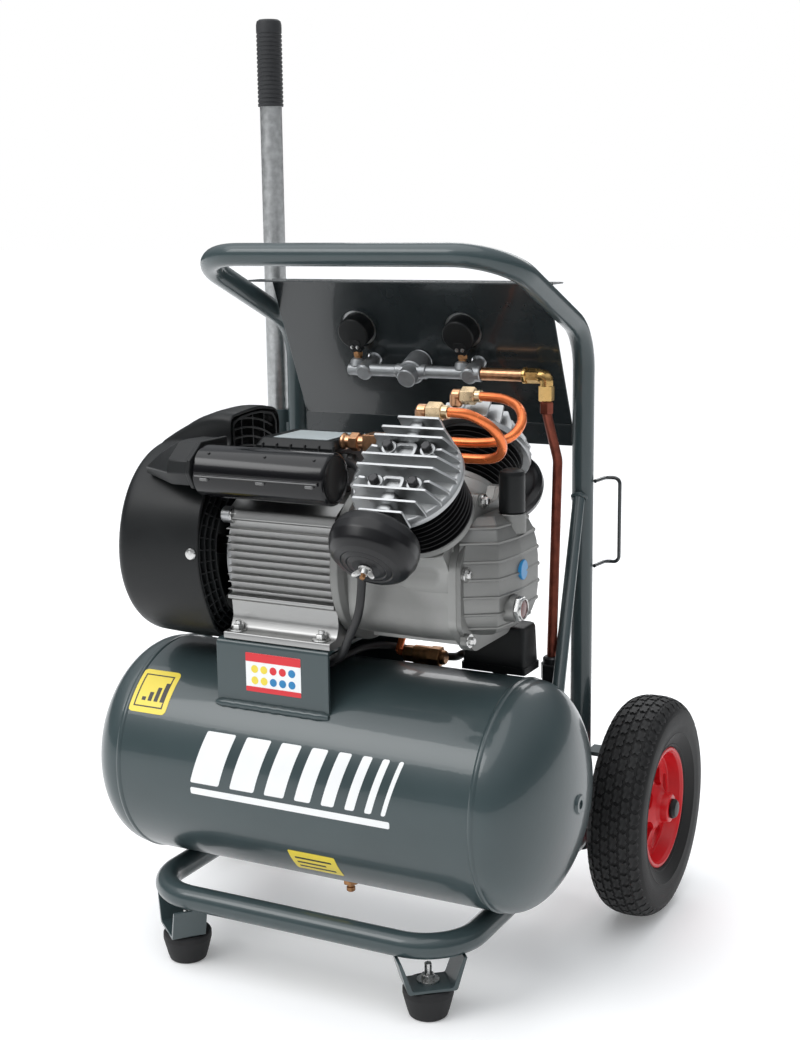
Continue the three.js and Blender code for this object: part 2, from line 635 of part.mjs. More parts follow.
// ---------- cylinder banks ----------
function finnedBarrel() {
  const [from, to] = [BANK.seat + GAP, BANK.headBase - GAP];
  const { fins, finRadius, coreRadius, flangeRadius } = BARREL;
  const profile = [[BANK.bore, from], [flangeRadius, from], [flangeRadius, from + 4], [coreRadius, from + 5]];
  const pitch = (to - from - 12) / fins;
  for (let i = 0; i < fins; i++) {
    const t = from + 8 + pitch * i;
    profile.push([coreRadius, t], [finRadius, t + 0.8], [finRadius, t + 3.2], [coreRadius, t + 4]);
  }
  profile.push([50, to - 4], [50, to], [BANK.bore, to], [BANK.bore, from]);
  return turned(profile, 'z', FINE);
}

function finnedHead(side) {
  const base = BANK.headBase;
  const { radius, height, plate, fins, pitch, bolt } = HEAD;
  const offset = -side * HEAD.shift;
  const [plateTop, tip] = [base + plate, base + height - 1];
  const comb = [[-radius - 4, base], [radius + 4, base], [radius + 4, plateTop]];
  for (let i = 0; i < fins; i++) {
    const y = (pitch * (fins - 1)) / 2 - pitch * i;
    comb.push([y + 1.8, plateTop], [y + 1.3, tip], [y - 1.3, tip], [y - 1.8, plateTop]);
  }
  comb.push([-radius - 4, plateTop]);
  const finBlock = alongX(comb, -radius - 4, radius + 4);
  const dome = turned([
    [0, base], [radius, base], [radius, base + 10], [radius - 10, base + height], [0, base + height],
  ], 'z');
  const bosses = [];
  for (const [x, y] of [[-bolt, -bolt], [bolt, -bolt], [bolt, bolt], [-bolt, bolt]]) {
    bosses.push(rod([x, y - offset, base + 2], [x, y - offset, base + 24], 8));
  }
  const chamber = rod([0, -offset, base - 1], [0, -offset, base + 5], BANK.bore - 2);
  return cut(join(common(finBlock, dome), ...bosses), chamber).translate(0, offset, 0);
}

function piston() {
  const top = BANK.headBase - 4;
  const { radius, length, pin } = PISTON;
  const body = turned([[0, top - length], [radius, top - length], [radius, top], [0, top]], 'z');
  const slot = block([-8, -16, top - length - 1], [8, 16, top - 12]);
  return cut(body, slot, rod([-30, 0, top - 22], [30, 0, top - 22], pin + 0.6));
}

// The front rod points at the crank pin straight along its bore; the rear one leans to reach it.
function connectingRod(side) {
  const small = BANK.headBase - 26;
  const beam = join(
    rod([-5, 0, 0], [5, 0, 0], 9),
    rod([-5, 0, -CRANK.rodLength], [5, 0, -CRANK.rodLength], 16, 16),
    block([-3.5, -6, -CRANK.rodLength + 12], [3.5, 6, 2]),
    rod([-22, 0, 0], [22, 0, 0], PISTON.pin),
  );
  const drilled = cut(beam, rod([-9, 0, -CRANK.rodLength], [9, 0, -CRANK.rodLength], 10, 16));
  const lean = side < 0 ? 0 : Math.asin(CRANK.throw / CRANK.rodLength);
  return drilled.rotateX(-lean).translate(0, 0, small);
}

const DOME = [[0, 52.5], [13, 52.5], [13, 68], [34, 70], [43, 78], [43, 96], [38, 108], [30, 112], [0, 112]];

function onIntake(geometry, side) {
  return geometry.rotateX((-side * Math.PI) / 2).translate(0, 0, BANK.headBase + 15);
}

const leaningDrop = CRANK.throw + CRANK.rodLength - Math.sqrt(CRANK.rodLength ** 2 - CRANK.throw ** 2);
for (const { name, side, group } of banks) {
  const travel = side < 0 ? 0 : -leaningDrop;
  add(`cylinder_${name}`, finnedBarrel(), BLACK_IRON, group);
  add(`head_${name}`, finnedHead(side), CAST_ALU, group);
  add(`piston_${name}`, piston().translate(0, 0, travel), EXTRUDED_ALU, group);
  add(`conrod_${name}`, connectingRod(side).translate(0, 0, travel), CAST_ALU, group);
  add(`filter_${name}`, onIntake(turned(DOME, 'z'), side), GLOSS_PLASTIC, group);
  const wingNut = join(rod([0, 0, 112.3], [0, 0, 124], 5), block([-13, -1.5, 114], [13, 1.5, 122]));
  add(`wing_nut_${name}`, onIntake(wingNut, side), STEEL, group);
}

// ---------- air pipes ----------
function deliveryPipe(points, nutFrom, nutTo, bank) {
  const elbow = rod(nutFrom, [nutFrom[0], nutFrom[1], nutFrom[2] - 9], 7, 6);
  const shift = -bank.side * HEAD.shift;
  const headSpace = tilted(rod([0, shift, 140], [0, shift, 182], HEAD.radius + 0.4), bank);
  return cut(join(tube(points, PIPE_RADIUS, 14, 8, 2), rod(nutFrom, nutTo, 8, 6), elbow), onShaft(headSpace));
}
const pipeFront = deliveryPipe([
  [150, -70, 629], [168, -70, 629], [188, -62, 626], [204, -46, 612], [207, -28, 593], [194, -14, 578],
  [165, -8, 574], [60.3, -8, 578],
], [146, -70, 629], [168, -70, 629], banks[0]);
add('delivery_pipe_front', pipeFront, COPPER);
const pipeRear = deliveryPipe([
  [122, 68, 629], [144, 66, 629], [170, 60, 628], [192, 48, 621], [201, 34, 607], [193, 18, 593],
  [165, 10, 588], [60.3, 8, 588],
], [118, 68, 629], [142, 68, 629], banks[1]);
add('delivery_pipe_rear', pipeRear, COPPER);
const tee = join(
  block([38, -15, 571], [60, 15, 595]),
  rod([12, 0, 583], [39, 0, 583], 7, 6),
  rod([22, 0, 583], [30, 0, 583], 9, 6),
);
add('delivery_tee', tee, BRASS);
const tankPipe = tube([
  [49, 15.3, 583], [49, 60, 580], [28, 106, 556], [28, 106, 430], [44, 106, 400], [44, 66, 355],
  [44, 55, 341],
  [52.7, 55, 341],
], 4, 10, 8, 2);
add('delivery_pipe_tank', tankPipe, COPPER);

const checkValve = cut(join(
  rod([53, 55, 341], [102, 55, 341], 9), rod([82, 55, 341], [102, 55, 341], 10.5, 6),
  rod([75, 55, 316], [75, 55, 341], 8, COARSE),
), clearTank());
add('check_valve', checkValve, BRASS);

const nutZ = 316;
const feedPipe = join(
  tube([[OUTLET.x, OUTLET.y, nutZ + 8], [OUTLET.x, OUTLET.y, 352], [187, 170, 549], [167, 185, 600],
    [167, 185, 611.7]], 5, 30, 10, 3),
  rod([OUTLET.x, OUTLET.y, nutZ], [OUTLET.x, OUTLET.y, nutZ + 21], 12.5),
);
add('panel_feed_pipe', feedPipe, OLD_COPPER);

// ---------- control panel ----------
function controlPanel() {
  const { halfWidth, length, sheet } = PANEL;
  const face = block([-halfWidth, 0, 0], [halfWidth, length, sheet]);
  const holes = [rod([-1, RAIL.down, -9], [-1, RAIL.down, 9], 14.5, 16)];
  GAUGES.forEach((x) => holes.push(rod([x, GAUGE.down, -9], [x, GAUGE.down, 9], GAUGE.hole, FINE)));
  OUTLETS.forEach((x) => holes.push(rod([x, RAIL.down, -9], [x, RAIL.down, 9], 9.5, 16)));
  const sheetMetal = cut(face, ...holes).rotateX(-PANEL.lean);
  const foldY = 240;
  const foldZ = PANEL.z - LEAN_SIN * length;
  const flange = block([-195, 135, PANEL.z - 2], [195, PANEL.y + 2, PANEL.z]);
  const skirt = block([-halfWidth, foldY - 1, 555], [halfWidth, foldY + 1, foldZ + 2]);
  return join(sheetMetal.translate(0, PANEL.y, PANEL.z), flange, skirt);
}
add('control_panel', controlPanel(), DARK_SHEET);

function airManifold() {
  const { down, out, radius, left, right } = RAIL;
  const parts = [
    rod([-1, down, -40], [-1, down, out], 10.5), rod([-1, down, out - 2], [-1, down, -0.5], 15, 16),
    rod([-1, down, -1], [-1, down, 9], 13, 16),
  ];
  for (const x of OUTLETS) parts.push(rod([x, down, out], [x, down, 26], 7.6));
  for (const x of GAUGES) parts.push(rod([x, down, out], [x, 93, -12], 6.5));
  const sockets = OUTLETS.map((x) => rod([x, down, 6], [x, down, 27], 5.4));
  return cut(join(rod([left, down, out], [right, down, out], radius), ...parts), ...sockets);
}
add('air_manifold', airManifold(), ZINC, panelGroup);

const knob = turned([[0, 9.3], [17, 9.3], [17, 30], [14, 36], [0, 36]], 'z', 16);
add('regulator_knob', knob.translate(-1, RAIL.down, 0), BLACK_PLASTIC, panelGroup);

['left', 'right'].forEach((side, i) => {
  const { body: bodyRadius, face, down } = GAUGE;
  const body = turned([
    [0, -17], [bodyRadius, -17], [bodyRadius, 2.3], [face, 2.3], [face, 12], [face - 3, 12],
    [face - 3, 6], [0, 6],
  ]);
  const stem = rod([0, 18, -9], [0, 26.5, -11], 5);
  add(`gauge_${side}`, join(body, stem).translate(GAUGES[i], down, 0), BLACK_PLASTIC, panelGroup);
  const needle = join(rod([0, 0, 6.4], [0, 0, 9.5], 2.5), block([-1, -4, 7.5], [1, 19, 8.5]));
  const pointer = needle.rotateZ(Math.PI / 4).translate(GAUGES[i], down, 0);
  add(`gauge_needle_${side}`, pointer, RED_PLASTIC, panelGroup);
  const sleeve = ring(8.2, 12.5, 9, 24, 'z', 16).translate(OUTLETS[i], RAIL.down, 0);
  add(`coupler_sleeve_${side}`, sleeve, STEEL, panelGroup);
});

const railY = PANEL.y + RAIL.down * LEAN_COS + RAIL.out * LEAN_SIN;
const railZ = PANEL.z - RAIL.down * LEAN_SIN + RAIL.out * LEAN_COS;
const elbow = join(
  rod([RAIL.right + GAP, railY, railZ], [166, railY, railZ], 6.5),
  rod([140, railY, railZ], [172, railY, railZ], 8.5, 6),
  rod([167, railY, railZ + 6], [167, railY, 612], 8.5, 8),
);
add('panel_elbow', elbow, BRASS);

// ---------- pressure switch ----------
function pressureSwitch() {
  const { left, right, front, back, bottom, top } = SWITCH;
  const base = block([left - 1, front - 1, bottom], [right + 1, back + 1, bottom + 8]);
  const cover = block([left, front, bottom + 7], [right, back, top]);
  const nipple = rod([160, 72, 312], [160, 72, bottom + 2], 8);
  return cut(join(base, cover, nipple), clearTank());
}
add('pressure_switch', pressureSwitch(), BLACK_PLASTIC);
function switchKnob() {
  const base = SWITCH.top + GAP;
  const top = base + 17.7;
  const profile = [[0, base], [9, base], [9, top - 8], [11, top - 6], [11, top], [0, top]];
  return turned(profile, 'z', 16).translate(SWITCH.knobX, SWITCH.knobY, 0);
}
add('pressure_switch_knob', switchKnob(), RED_PLASTIC);

// ---------- origin ----------
model.updateMatrixWorld(true);
const bounds = new THREE.Box3().setFromObject(model, true);
model.position.y = -(bounds.min.y + bounds.max.y) / 2;

export default compressor;
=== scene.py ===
import math

import bmesh
import bpy
from mathutils import Matrix, Vector

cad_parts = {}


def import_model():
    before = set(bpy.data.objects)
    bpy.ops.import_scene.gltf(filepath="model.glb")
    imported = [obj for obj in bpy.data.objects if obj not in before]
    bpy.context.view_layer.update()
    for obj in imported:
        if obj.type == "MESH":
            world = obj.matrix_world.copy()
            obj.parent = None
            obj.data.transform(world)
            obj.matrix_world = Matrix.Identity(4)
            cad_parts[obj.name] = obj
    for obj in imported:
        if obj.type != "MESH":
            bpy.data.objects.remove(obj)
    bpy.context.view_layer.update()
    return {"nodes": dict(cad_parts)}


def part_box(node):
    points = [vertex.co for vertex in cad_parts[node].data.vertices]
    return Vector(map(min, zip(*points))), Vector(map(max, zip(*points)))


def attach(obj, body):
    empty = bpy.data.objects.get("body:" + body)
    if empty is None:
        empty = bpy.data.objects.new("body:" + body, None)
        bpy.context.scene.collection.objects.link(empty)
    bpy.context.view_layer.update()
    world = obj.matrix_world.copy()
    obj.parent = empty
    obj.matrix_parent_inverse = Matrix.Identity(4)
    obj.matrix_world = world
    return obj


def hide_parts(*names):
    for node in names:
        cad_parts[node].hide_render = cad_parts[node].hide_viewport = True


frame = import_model()

# ---------- units and places ----------
# Shapes are drawn in millimetres about the tank: X along it, Y = 0 on its axis, Z = 0 on the floor.
MM = 0.001
AXIS_Y = sum(corner.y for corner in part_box("rotor")) / 2
FINE, SMOOTH, ROUND, SMALL, HEX = 64, 48, 32, 20, 6

TANK_R, TANK_HALF, TANK_DOME, TANK_Z = 122.5, 218.5, 62.4, 219.7
SHAFT_Z = 458.0
SHAFT = (0, 0, SHAFT_Z)
FRAME_X, FRAME_Y = 189.7, 240.7
TUBE_R = 12.5
SKID_Z, SKID_FRONT, SKID_R = 82.9, -113.2, 13.5
WHEEL_X, WHEEL_Y, WHEEL_Z = 267.8, 255.6, 130.0
RIM_R = 70.0
FOOT_X, FOOT_Y, FOOT_H = 151.0, -92.0, 34.0
HANDLE_X, HANDLE_Y, HANDLE_TOP, CLAMP_Z = -222.6, 247.6, 1052.0, 560.0
SADDLE_LEFT, SADDLE_RIGHT, SADDLE_Y, SADDLE_TOP = -102.0, 36.0, 87.4, 375.5
MOTOR_LEFT, MOTOR_RIGHT = -92.0, 38.0
COVER_RIM, COVER_END = -115.0, -222.0
CAP_Y, CAP_Z, CAP_R = -92.0, 558.0, 27.5
BOX_LEFT, BOX_RIGHT, BOX_FRONT, BOX_BACK, GLAND_Z = -88, 6, -15, 62, 562
BANK_X = {"front": 142.0, "rear": 120.0}
BANK_SEAT, HEAD_BASE = 85.0, 150.0
JOINT_X = 178.0
GLASS = (223.5, -25.0, 427.0)
BREATHER_X = 205.5
TEE_Z, VALVE_X, VALVE_Y, VALVE_Z = 583, 75, 55, 341
FEED_X, FEED_Y, RISER_X, RISER_Y, DRAIN_X = 208, 104, 167, 185, 9
SWITCH_X, SWITCH_Y = 160, 72
PANEL_Y, PANEL_Z, PANEL_LENGTH, PANEL_HALF = 164.0, 745.4, 184.0, 176.5
PANEL_LEAN = math.atan2(0.9105, 0.4134)
RAIL_DOWN, RAIL_OUT, GAUGE_DOWN = 104.6, -24.5, 63
GAUGE_X = {"left": -74.0, "right": 62.0}
OUTLET_X = {"left": -62.0, "right": 74.0}
SIDES = {"left": -1, "right": 1}

STAND = {
    "x": Matrix(((0, 0, 1, 0), (1, 0, 0, 0), (0, 1, 0, 0), (0, 0, 0, 1))),
    "z": Matrix.Identity(4),
}


# ---------- shapes ----------
class Shell:
    """Closed surfaces in millimetres: points, and faces as tuples of point numbers."""

    def __init__(self, points=(), faces=()):
        self.points = [Vector(p) for p in points]
        self.faces = [tuple(f) for f in faces]

    def moved(self, matrix):
        return Shell([matrix @ p for p in self.points], self.faces)

    def shifted(self, x, y, z):
        return self.moved(Matrix.Translation((x, y, z)))

    def spun(self, degrees, axis):
        return self.moved(Matrix.Rotation(math.radians(degrees), 4, axis))

    def __add__(self, other):
        start = len(self.points)
        added = [tuple(i + start for i in face) for face in other.faces]
        return Shell(self.points + other.points, self.faces + added)


def together(*shells):
    """One shell of several, in their order."""
    return sum(shells, Shell())


def skin(rings, loop=False):
    """Joins rings of equal count, with flat ends unless the rings close into a loop."""
    count = len(rings[0])
    faces = []
    for r in range(len(rings) if loop else len(rings) - 1):
        near, far = r * count, ((r + 1) % len(rings)) * count
        for i in range(count):
            j = (i + 1) % count
            faces.append((near + i, near + j, far + j, far + i))
    if not loop:
        faces.append(tuple(range(count))[::-1])
        faces.append(tuple(range((len(rings) - 1) * count, len(rings) * count)))
    return Shell([p for ring in rings for p in ring], faces)


def lathe(profile, axis="z", sides=FINE):
    """Turns (radius, position) points. The profile starts and ends on the axis, or closes on itself."""
    loop = profile[0] == profile[-1]
    points, rings = [], []
    for radius, along in profile[:-1] if loop else profile:
        if radius < 1e-6:
            rings.append([len(points)] * sides)
            points.append((0, 0, along))
            continue
        rings.append([len(points) + i for i in range(sides)])
        for i in range(sides):
            angle = 2 * math.pi * i / sides
            points.append((radius * math.cos(angle), radius * math.sin(angle), along))
    faces = []
    for near, far in zip(rings, rings[1:] + rings[:1] if loop else rings[1:]):
        for i in range(sides):
            j = (i + 1) % sides
            face = tuple(dict.fromkeys((near[i], near[j], far[j], far[i])))
            if len(face) > 2:
                faces.append(face)
    return Shell(points, faces).moved(STAND[axis])


def aim(start, end):
    """The placement that takes +Z from the origin onto the line from start to end."""
    turn = Vector((0, 0, 1)).rotation_difference(Vector(end) - Vector(start)).to_matrix().to_4x4()
    return Matrix.Translation(start) @ turn


def rod(start, end, radius, sides=ROUND, soft=0.5):
    length = (Vector(end) - Vector(start)).length
    profile = [(0, 0), (radius - soft, 0), (radius, soft), (radius, length - soft), (radius - soft, length)]
    return lathe(profile + [(0, length)], sides=sides).moved(aim(start, end))


def brick(low, high):
    (x0, y0, z0), (x1, y1, z1) = low, high
    lower = [(x0, y0, z0), (x1, y0, z0), (x1, y1, z0), (x0, y1, z0)]
    return skin([lower, [(x, y, z1) for x, y, _ in lower]])


def corner_ends(back, on, radius):
    """Where an arc starts and ends, from its corner, between the ways back and on."""
    reach = min(radius / math.tan(back.angle(on) / 2), 0.48 * back.length, 0.48 * on.length)
    return back.normalized() * reach, on.normalized() * reach


def soft_outline(points, radius=0.0, steps=4, closed=True):
    """Rounds the corners of a flat outline. A point may carry its own radius as a third number."""
    result = []
    for i, point in enumerate(points):
        here = Vector(point[:2])
        wanted = point[2] if len(point) > 2 else radius
        back = Vector(points[i - 1][:2]) - here
        on = Vector(points[(i + 1) % len(points)][:2]) - here
        at_end = not closed and i in (0, len(points) - 1)
        if at_end or wanted <= 0 or not 0.02 < back.angle(on) / 2 < 1.55:
            result.append(tuple(here))
            continue
        start, end = corner_ends(back, on, wanted)
        start, end = here + start, here + end
        for k in range(steps + 1):
            t = k / steps
            result.append(tuple(start * (1 - t) ** 2 + here * 2 * t * (1 - t) + end * t**2))
    return result


def turned(profile, axis="z", sides=FINE, steps=4, radius=0.0):
    """A lathe shape whose profile has rounded corners."""
    return lathe(soft_outline(profile, radius, steps, closed=False), axis, sides)


def rectangle(x0, x1, y0, y1, radius, steps=4):
    """A rectangle's outline with rounded corners."""
    return soft_outline([(x0, y0), (x1, y0), (x1, y1), (x0, y1)], radius, steps)


def layers(outlines, axis="z"):
    """A solid through flat outlines across the axis, each given after its position on it."""
    rings = [[(a, b, position) for a, b in outline] for position, outline in outlines]
    return skin(rings).moved(STAND[axis])


def prism(outline, low, high, axis="z"):
    return layers([(low, outline), (high, outline)], axis)


def upright(outline, front, back):
    """A flat outline of (X, Z) points between two positions along Y."""
    return skin([[(x, position, z) for x, z in outline] for position in (front, back)])


def band(outer, inner, low, high):
    """A closed strip along X between two outlines of (Y, Z) points of equal count."""
    sections = ((outer, low), (outer, high), (inner, high), (inner, low))
    return skin([[(position, y, z) for y, z in outline] for outline, position in sections], loop=True)


def bend(points, radius, steps=8):
    """A polyline in space whose corners become arcs."""
    corners = [Vector(p) for p in points]
    path = [corners[0]]
    for before, here, after in zip(corners, corners[1:], corners[2:]):
        back, on = before - here, after - here
        half = back.angle(on) / 2
        start, end = corner_ends(back, on, radius)
        arc = start.length * math.tan(half)
        centre = (back.normalized() + on.normalized()).normalized() * (arc / math.sin(half))
        a, b = start - centre, end - centre
        whole = a.angle(b)
        for k in range(steps + 1):
            t = k / steps
            first, second = math.sin((1 - t) * whole), math.sin(t * whole)
            path.append(here + centre + (a * first + b * second) / math.sin(whole))
    return path + [corners[-1]]


def flow(points, steps=8, loop=False):
    """A smooth curve through the points."""
    knots = [Vector(p) for p in points]
    last = len(knots) - 1
    path = []
    for i in range(last + 1 if loop else last):
        near = (i - 1, i, i + 1, i + 2)
        if loop:
            p0, p1, p2, p3 = (knots[k % (last + 1)] for k in near)
        else:
            p0, p1, p2, p3 = (knots[min(max(k, 0), last)] for k in near)
        for k in range(steps):
            t = k / steps
            square = (2 * p0 - 5 * p1 + 4 * p2 - p3) * t**2
            cube = (3 * p1 - p0 - 3 * p2 + p3) * t**3
            path.append(0.5 * (2 * p1 + (p2 - p0) * t + square + cube))
    return path if loop else path + [knots[-1]]


def sweep(path, radius, sides=24, loop=False):
    """A round tube along a path. radius is a number, or a function of the share of the path covered."""
    count = len(path)
    side = None
    rings = []
    for i, point in enumerate(path):
        before = path[i - 1] if loop or i else path[0]
        after = path[(i + 1) % count] if loop or i + 1 < count else path[-1]
        tangent = (after - before).normalized()
        side = side or tangent.orthogonal().normalized()
        side = (side - tangent * side.dot(tangent)).normalized()
        other = tangent.cross(side)
        size = radius(i / (count - 1)) if callable(radius) else radius
        turns = [2 * math.pi * k / sides for k in range(sides)]
        rings.append([point + size * (math.cos(turn) * side + math.sin(turn) * other) for turn in turns])
    return skin(rings, loop)


def shell_mesh(name, points, faces):
    """A mesh of closed shells, with every face turned outwards."""
    mesh = bpy.data.meshes.new(name)
    mesh.from_pydata(points, [], faces)
    outwards = bmesh.new()
    outwards.from_mesh(mesh)
    bmesh.ops.recalc_face_normals(outwards, faces=outwards.faces[:])
    outwards.to_mesh(mesh)
    outwards.free()
    return mesh


def new_object(name, data):
    obj = bpy.data.objects.new(name, data)
    bpy.context.scene.collection.objects.link(obj)
    return obj


def carved(base, *cutters, operation="DIFFERENCE"):
    """base with the cutters taken away, or cut down to what it shares with them."""
    target, *tools = [new_object("raw", shell_mesh("raw", s.points, s.faces)) for s in (base, *cutters)]
    for tool in tools:
        modifier = target.modifiers.new("carve", "BOOLEAN")
        modifier.object = tool
        modifier.operation = operation
        modifier.solver = "EXACT"
    bpy.context.view_layer.update()
    evaluated = target.evaluated_get(bpy.context.evaluated_depsgraph_get())
    mesh = bpy.data.meshes.new_from_object(evaluated)
    result = Shell([v.co for v in mesh.vertices], [tuple(p.vertices) for p in mesh.polygons])
    for data in [mesh, target.data, *[tool.data for tool in tools]]:
        bpy.data.meshes.remove(data)
    return result


def hex_bolt(seat, way, across=13.0, height=5.5, washer=1.4, stud=0.0):
    """A hexagon head or nut on a washer, standing on seat and pointing along way."""
    corner = across / 2 / math.cos(math.pi / 6)
    top = washer + height
    bolt = lathe([(0, washer), (corner, washer), (corner, top - 1), (corner - 1.1, top), (0, top)], sides=HEX)
    if washer:
        rim = across * 0.92
        bolt = lathe([(0, 0), (rim, 0), (rim, washer), (0, washer)], sides=ROUND) + bolt
    if stud:
        bolt += rod((0, 0, top - 1), (0, 0, top + stud), across * 0.3, SMALL, 0.6)
    return bolt.moved(aim(seat, Vector(seat) + Vector(way)))


# ---------- finishes ----------
def put(tree, node, values):
    """Sets a node's inputs: a socket is linked, and anything else is the input's own value."""
    for name, value in dict(values).items():
        if isinstance(value, bpy.types.NodeSocket):
            tree.links.new(value, node.inputs[name])
        else:
            node.inputs[name].default_value = value
    return node


def make(tree, kind, values=(), **settings):
    """A new shader node with its settings, which come before its inputs because they choose them."""
    node = tree.nodes.new("ShaderNode" + kind)
    for name, value in settings.items():
        setattr(node, name, value)
    return put(tree, node, values)


def noise(tree, spot, size, detail):
    """Noise whose features have a size in millimetres."""
    return make(tree, "TexNoise", {"Scale": 1 / (size * MM), "Detail": detail, "Vector": spot}).outputs["Fac"]


def finish(name, color, metallic=0.0, roughness=0.4, coat=0.0, grain=0.02, grain_size=1.0, mottle=0.1,
           mottle_size=40.0, spread=0.1, stretch=(1, 1, 1), edge=0.0, specular=0.5):
    """A procedural finish. grain is the bump's depth and the sizes are of its features, in millimetres."""
    material = bpy.data.materials.new(name)
    material.use_nodes = True
    tree = material.node_tree
    place = make(tree, "TexCoord").outputs["Object"]
    spot = make(tree, "Mapping", {"Scale": stretch, "Vector": place}).outputs["Vector"]
    cloud = noise(tree, spot, mottle_size, 4)
    ramp = make(tree, "ValToRGB", {"Fac": cloud})
    for element, position, factor in zip(ramp.color_ramp.elements, (0.3, 0.7), (1 - mottle, 1 + mottle)):
        element.position = position
        element.color = [min(channel * factor, 1) for channel in color] + [1]
    base = ramp.outputs["Color"]
    if edge:
        shape = make(tree, "NewGeometry").outputs["Pointiness"]
        limits = {"From Min": 0.53, "From Max": 0.62, "To Max": edge, "Value": shape}
        sharp = make(tree, "MapRange", limits).outputs["Result"]
        pale = [min(channel * 2.2 + 0.06, 1) for channel in color] + [1]
        worn = make(tree, "Mix", {"Factor": sharp, "A": base, "B": pale}, data_type="RGBA")
        base = worn.outputs["Result"]
    limits = {"To Min": max(roughness - spread / 2, 0.02), "To Max": roughness + spread / 2, "Value": cloud}
    gloss = make(tree, "MapRange", limits).outputs["Result"]
    height = noise(tree, spot, grain_size, 3)
    bump = make(tree, "Bump", {"Distance": grain * MM, "Height": height}).outputs["Normal"]
    shader = put(tree, tree.nodes["Principled BSDF"], {
        "Base Color": base, "Metallic": metallic, "Roughness": gloss, "Normal": bump,
        "Specular IOR Level": specular, "Coat Weight": coat, "Coat Roughness": 0.04,
    })
    if coat:
        put(tree, shader, {"Coat Normal": bump})
    return material


PAINT = finish("tank_paint", (0.04, 0.06, 0.064), roughness=0.32, coat=0.45, grain=0.05, grain_size=5,
               mottle=0.05, mottle_size=60, edge=0.1, specular=0.35)
SHEET = finish("panel_sheet", (0.018, 0.024, 0.026), roughness=0.25, coat=0.5, grain=0.04, grain_size=5,
               mottle=0.08)
PLASTIC = finish("moulded_black", (0.006, 0.007, 0.0075), roughness=0.42, grain=0.06, grain_size=0.5,
                 mottle=0.12, edge=0.2, specular=0.3)
GLOSS = finish("gloss_black", (0.005, 0.005, 0.006), roughness=0.16, grain_size=6, spread=0.06, specular=0.4)
SATIN = finish("satin_black", (0.006, 0.006, 0.007), roughness=0.3, grain_size=4, spread=0.08, specular=0.35)
# Pale grey that paints a highlight: the bright edge along the capacitor's seam and its clips.
SEAM_HIGHLIGHT = finish("painted_seam_highlight", (0.13, 0.13, 0.13), roughness=0.3, grain_size=2)
RED = finish("red_plastic", (0.6, 0.004, 0.01), roughness=0.36, grain=0.04, grain_size=1.2, mottle=0.08)
KNOB_RED = finish("knob_red", (0.5, 0.012, 0.02), roughness=0.3, grain=0.03, mottle=0.06)
SIGHT = finish("sight_red", (0.11, 0.01, 0.008), roughness=0.2, coat=0.15, grain_size=3, mottle=0.3,
               mottle_size=6)


def metal(name, color, metallic, roughness, grain, grain_size, **others):
    return finish(name, color, metallic, roughness, 0.0, grain, grain_size, **others)


EXTRUDED = metal("extruded_aluminium", (0.35, 0.35, 0.345), 1, 0.4, 0.06, 0.7, stretch=(0.04, 1, 1),
                 mottle=0.06, mottle_size=12)
CAST = metal("cast_aluminium", (0.38, 0.388, 0.392), 1, 0.38, 0.16, 0.9, mottle=0.07, mottle_size=25,
             edge=0.35)
CASE = metal("crankcase_metal", (0.215, 0.216, 0.209), 0.75, 0.48, 0.14, 0.8, mottle=0.08, mottle_size=30,
             edge=0.3)
IRON = metal("black_iron", (0.008, 0.008, 0.009), 0.2, 0.38, 0.15, 1.5, edge=0.4)
ZINC = metal("zinc_steel", (0.5, 0.51, 0.51), 0.95, 0.38, 0.03, 2, mottle=0.16, mottle_size=7, spread=0.22)
BOLT = metal("bolt_steel", (0.55, 0.55, 0.54), 1, 0.28, 0.02, 1, mottle_size=4)
DARK_BOLT = metal("dark_bolt", (0.05, 0.05, 0.052), 0.8, 0.4, 0.04, 0.8)
STEEL = metal("inner_steel", (0.4, 0.4, 0.4), 1, 0.35, 0.03, 0.6)
ZAMAK = metal("zinc_casting", (0.42, 0.435, 0.445), 0.85, 0.45, 0.12, 1.2, mottle=0.12, mottle_size=10)
TURNED = metal("machined_aluminium", (0.7, 0.7, 0.7), 1, 0.3, 0.02, 0.5)
BRASS = metal("brass", (0.66, 0.42, 0.16), 1, 0.26, 0.03, 0.8, mottle=0.14, mottle_size=6)
PALE_BRASS = metal("pale_brass", (0.66, 0.5, 0.31), 1, 0.28, 0.03, 0.8, mottle=0.14, mottle_size=6)
ROSE_BRASS = metal("rose_brass", (0.66, 0.36, 0.2), 1, 0.3, 0.03, 0.8, mottle=0.18, mottle_size=6)
BRONZE = metal("dull_bronze", (0.36, 0.19, 0.09), 1, 0.36, 0.05, 0.8, mottle=0.25, mottle_size=6)
COPPER = metal("copper", (0.8, 0.2, 0.06), 0.65, 0.26, 0.02, 2, mottle=0.12, mottle_size=8)
OLD_COPPER = metal("aged_copper", (0.2, 0.05, 0.03), 0.7, 0.36, 0.04, 1.5, mottle=0.25, mottle_size=9)
WINDING = metal("copper_winding", (0.3, 0.1, 0.04), 0.8, 0.4, 0.3, 1.2)


def rubber(name, color, roughness, grain, grain_size, mottle, **others):
    return finish(name, color, 0.0, roughness, 0.0, grain, grain_size, mottle, **others)


TYRE = rubber("tyre_rubber", (0.005, 0.005, 0.0052), 0.58, 0.12, 0.8, 0.25, mottle_size=15, edge=0.35,
              specular=0.3)
RUBBER = rubber("foot_rubber", (0.016, 0.016, 0.017), 0.62, 0.1, 1, 0.2, specular=0.3)
GRIP = rubber("grip_rubber", (0.018, 0.019, 0.021), 0.6, 0.08, 0.8, 0.15)
LEAD = rubber("lead_rubber", (0.012, 0.012, 0.013), 0.45, 0.03, 1.5, 0.1)


def label(name, color, roughness=0.35, mottle=0.03, grain=0.01, grain_size=3):
    return finish(name, color, 0.0, roughness, 0.0, grain, grain_size, mottle)


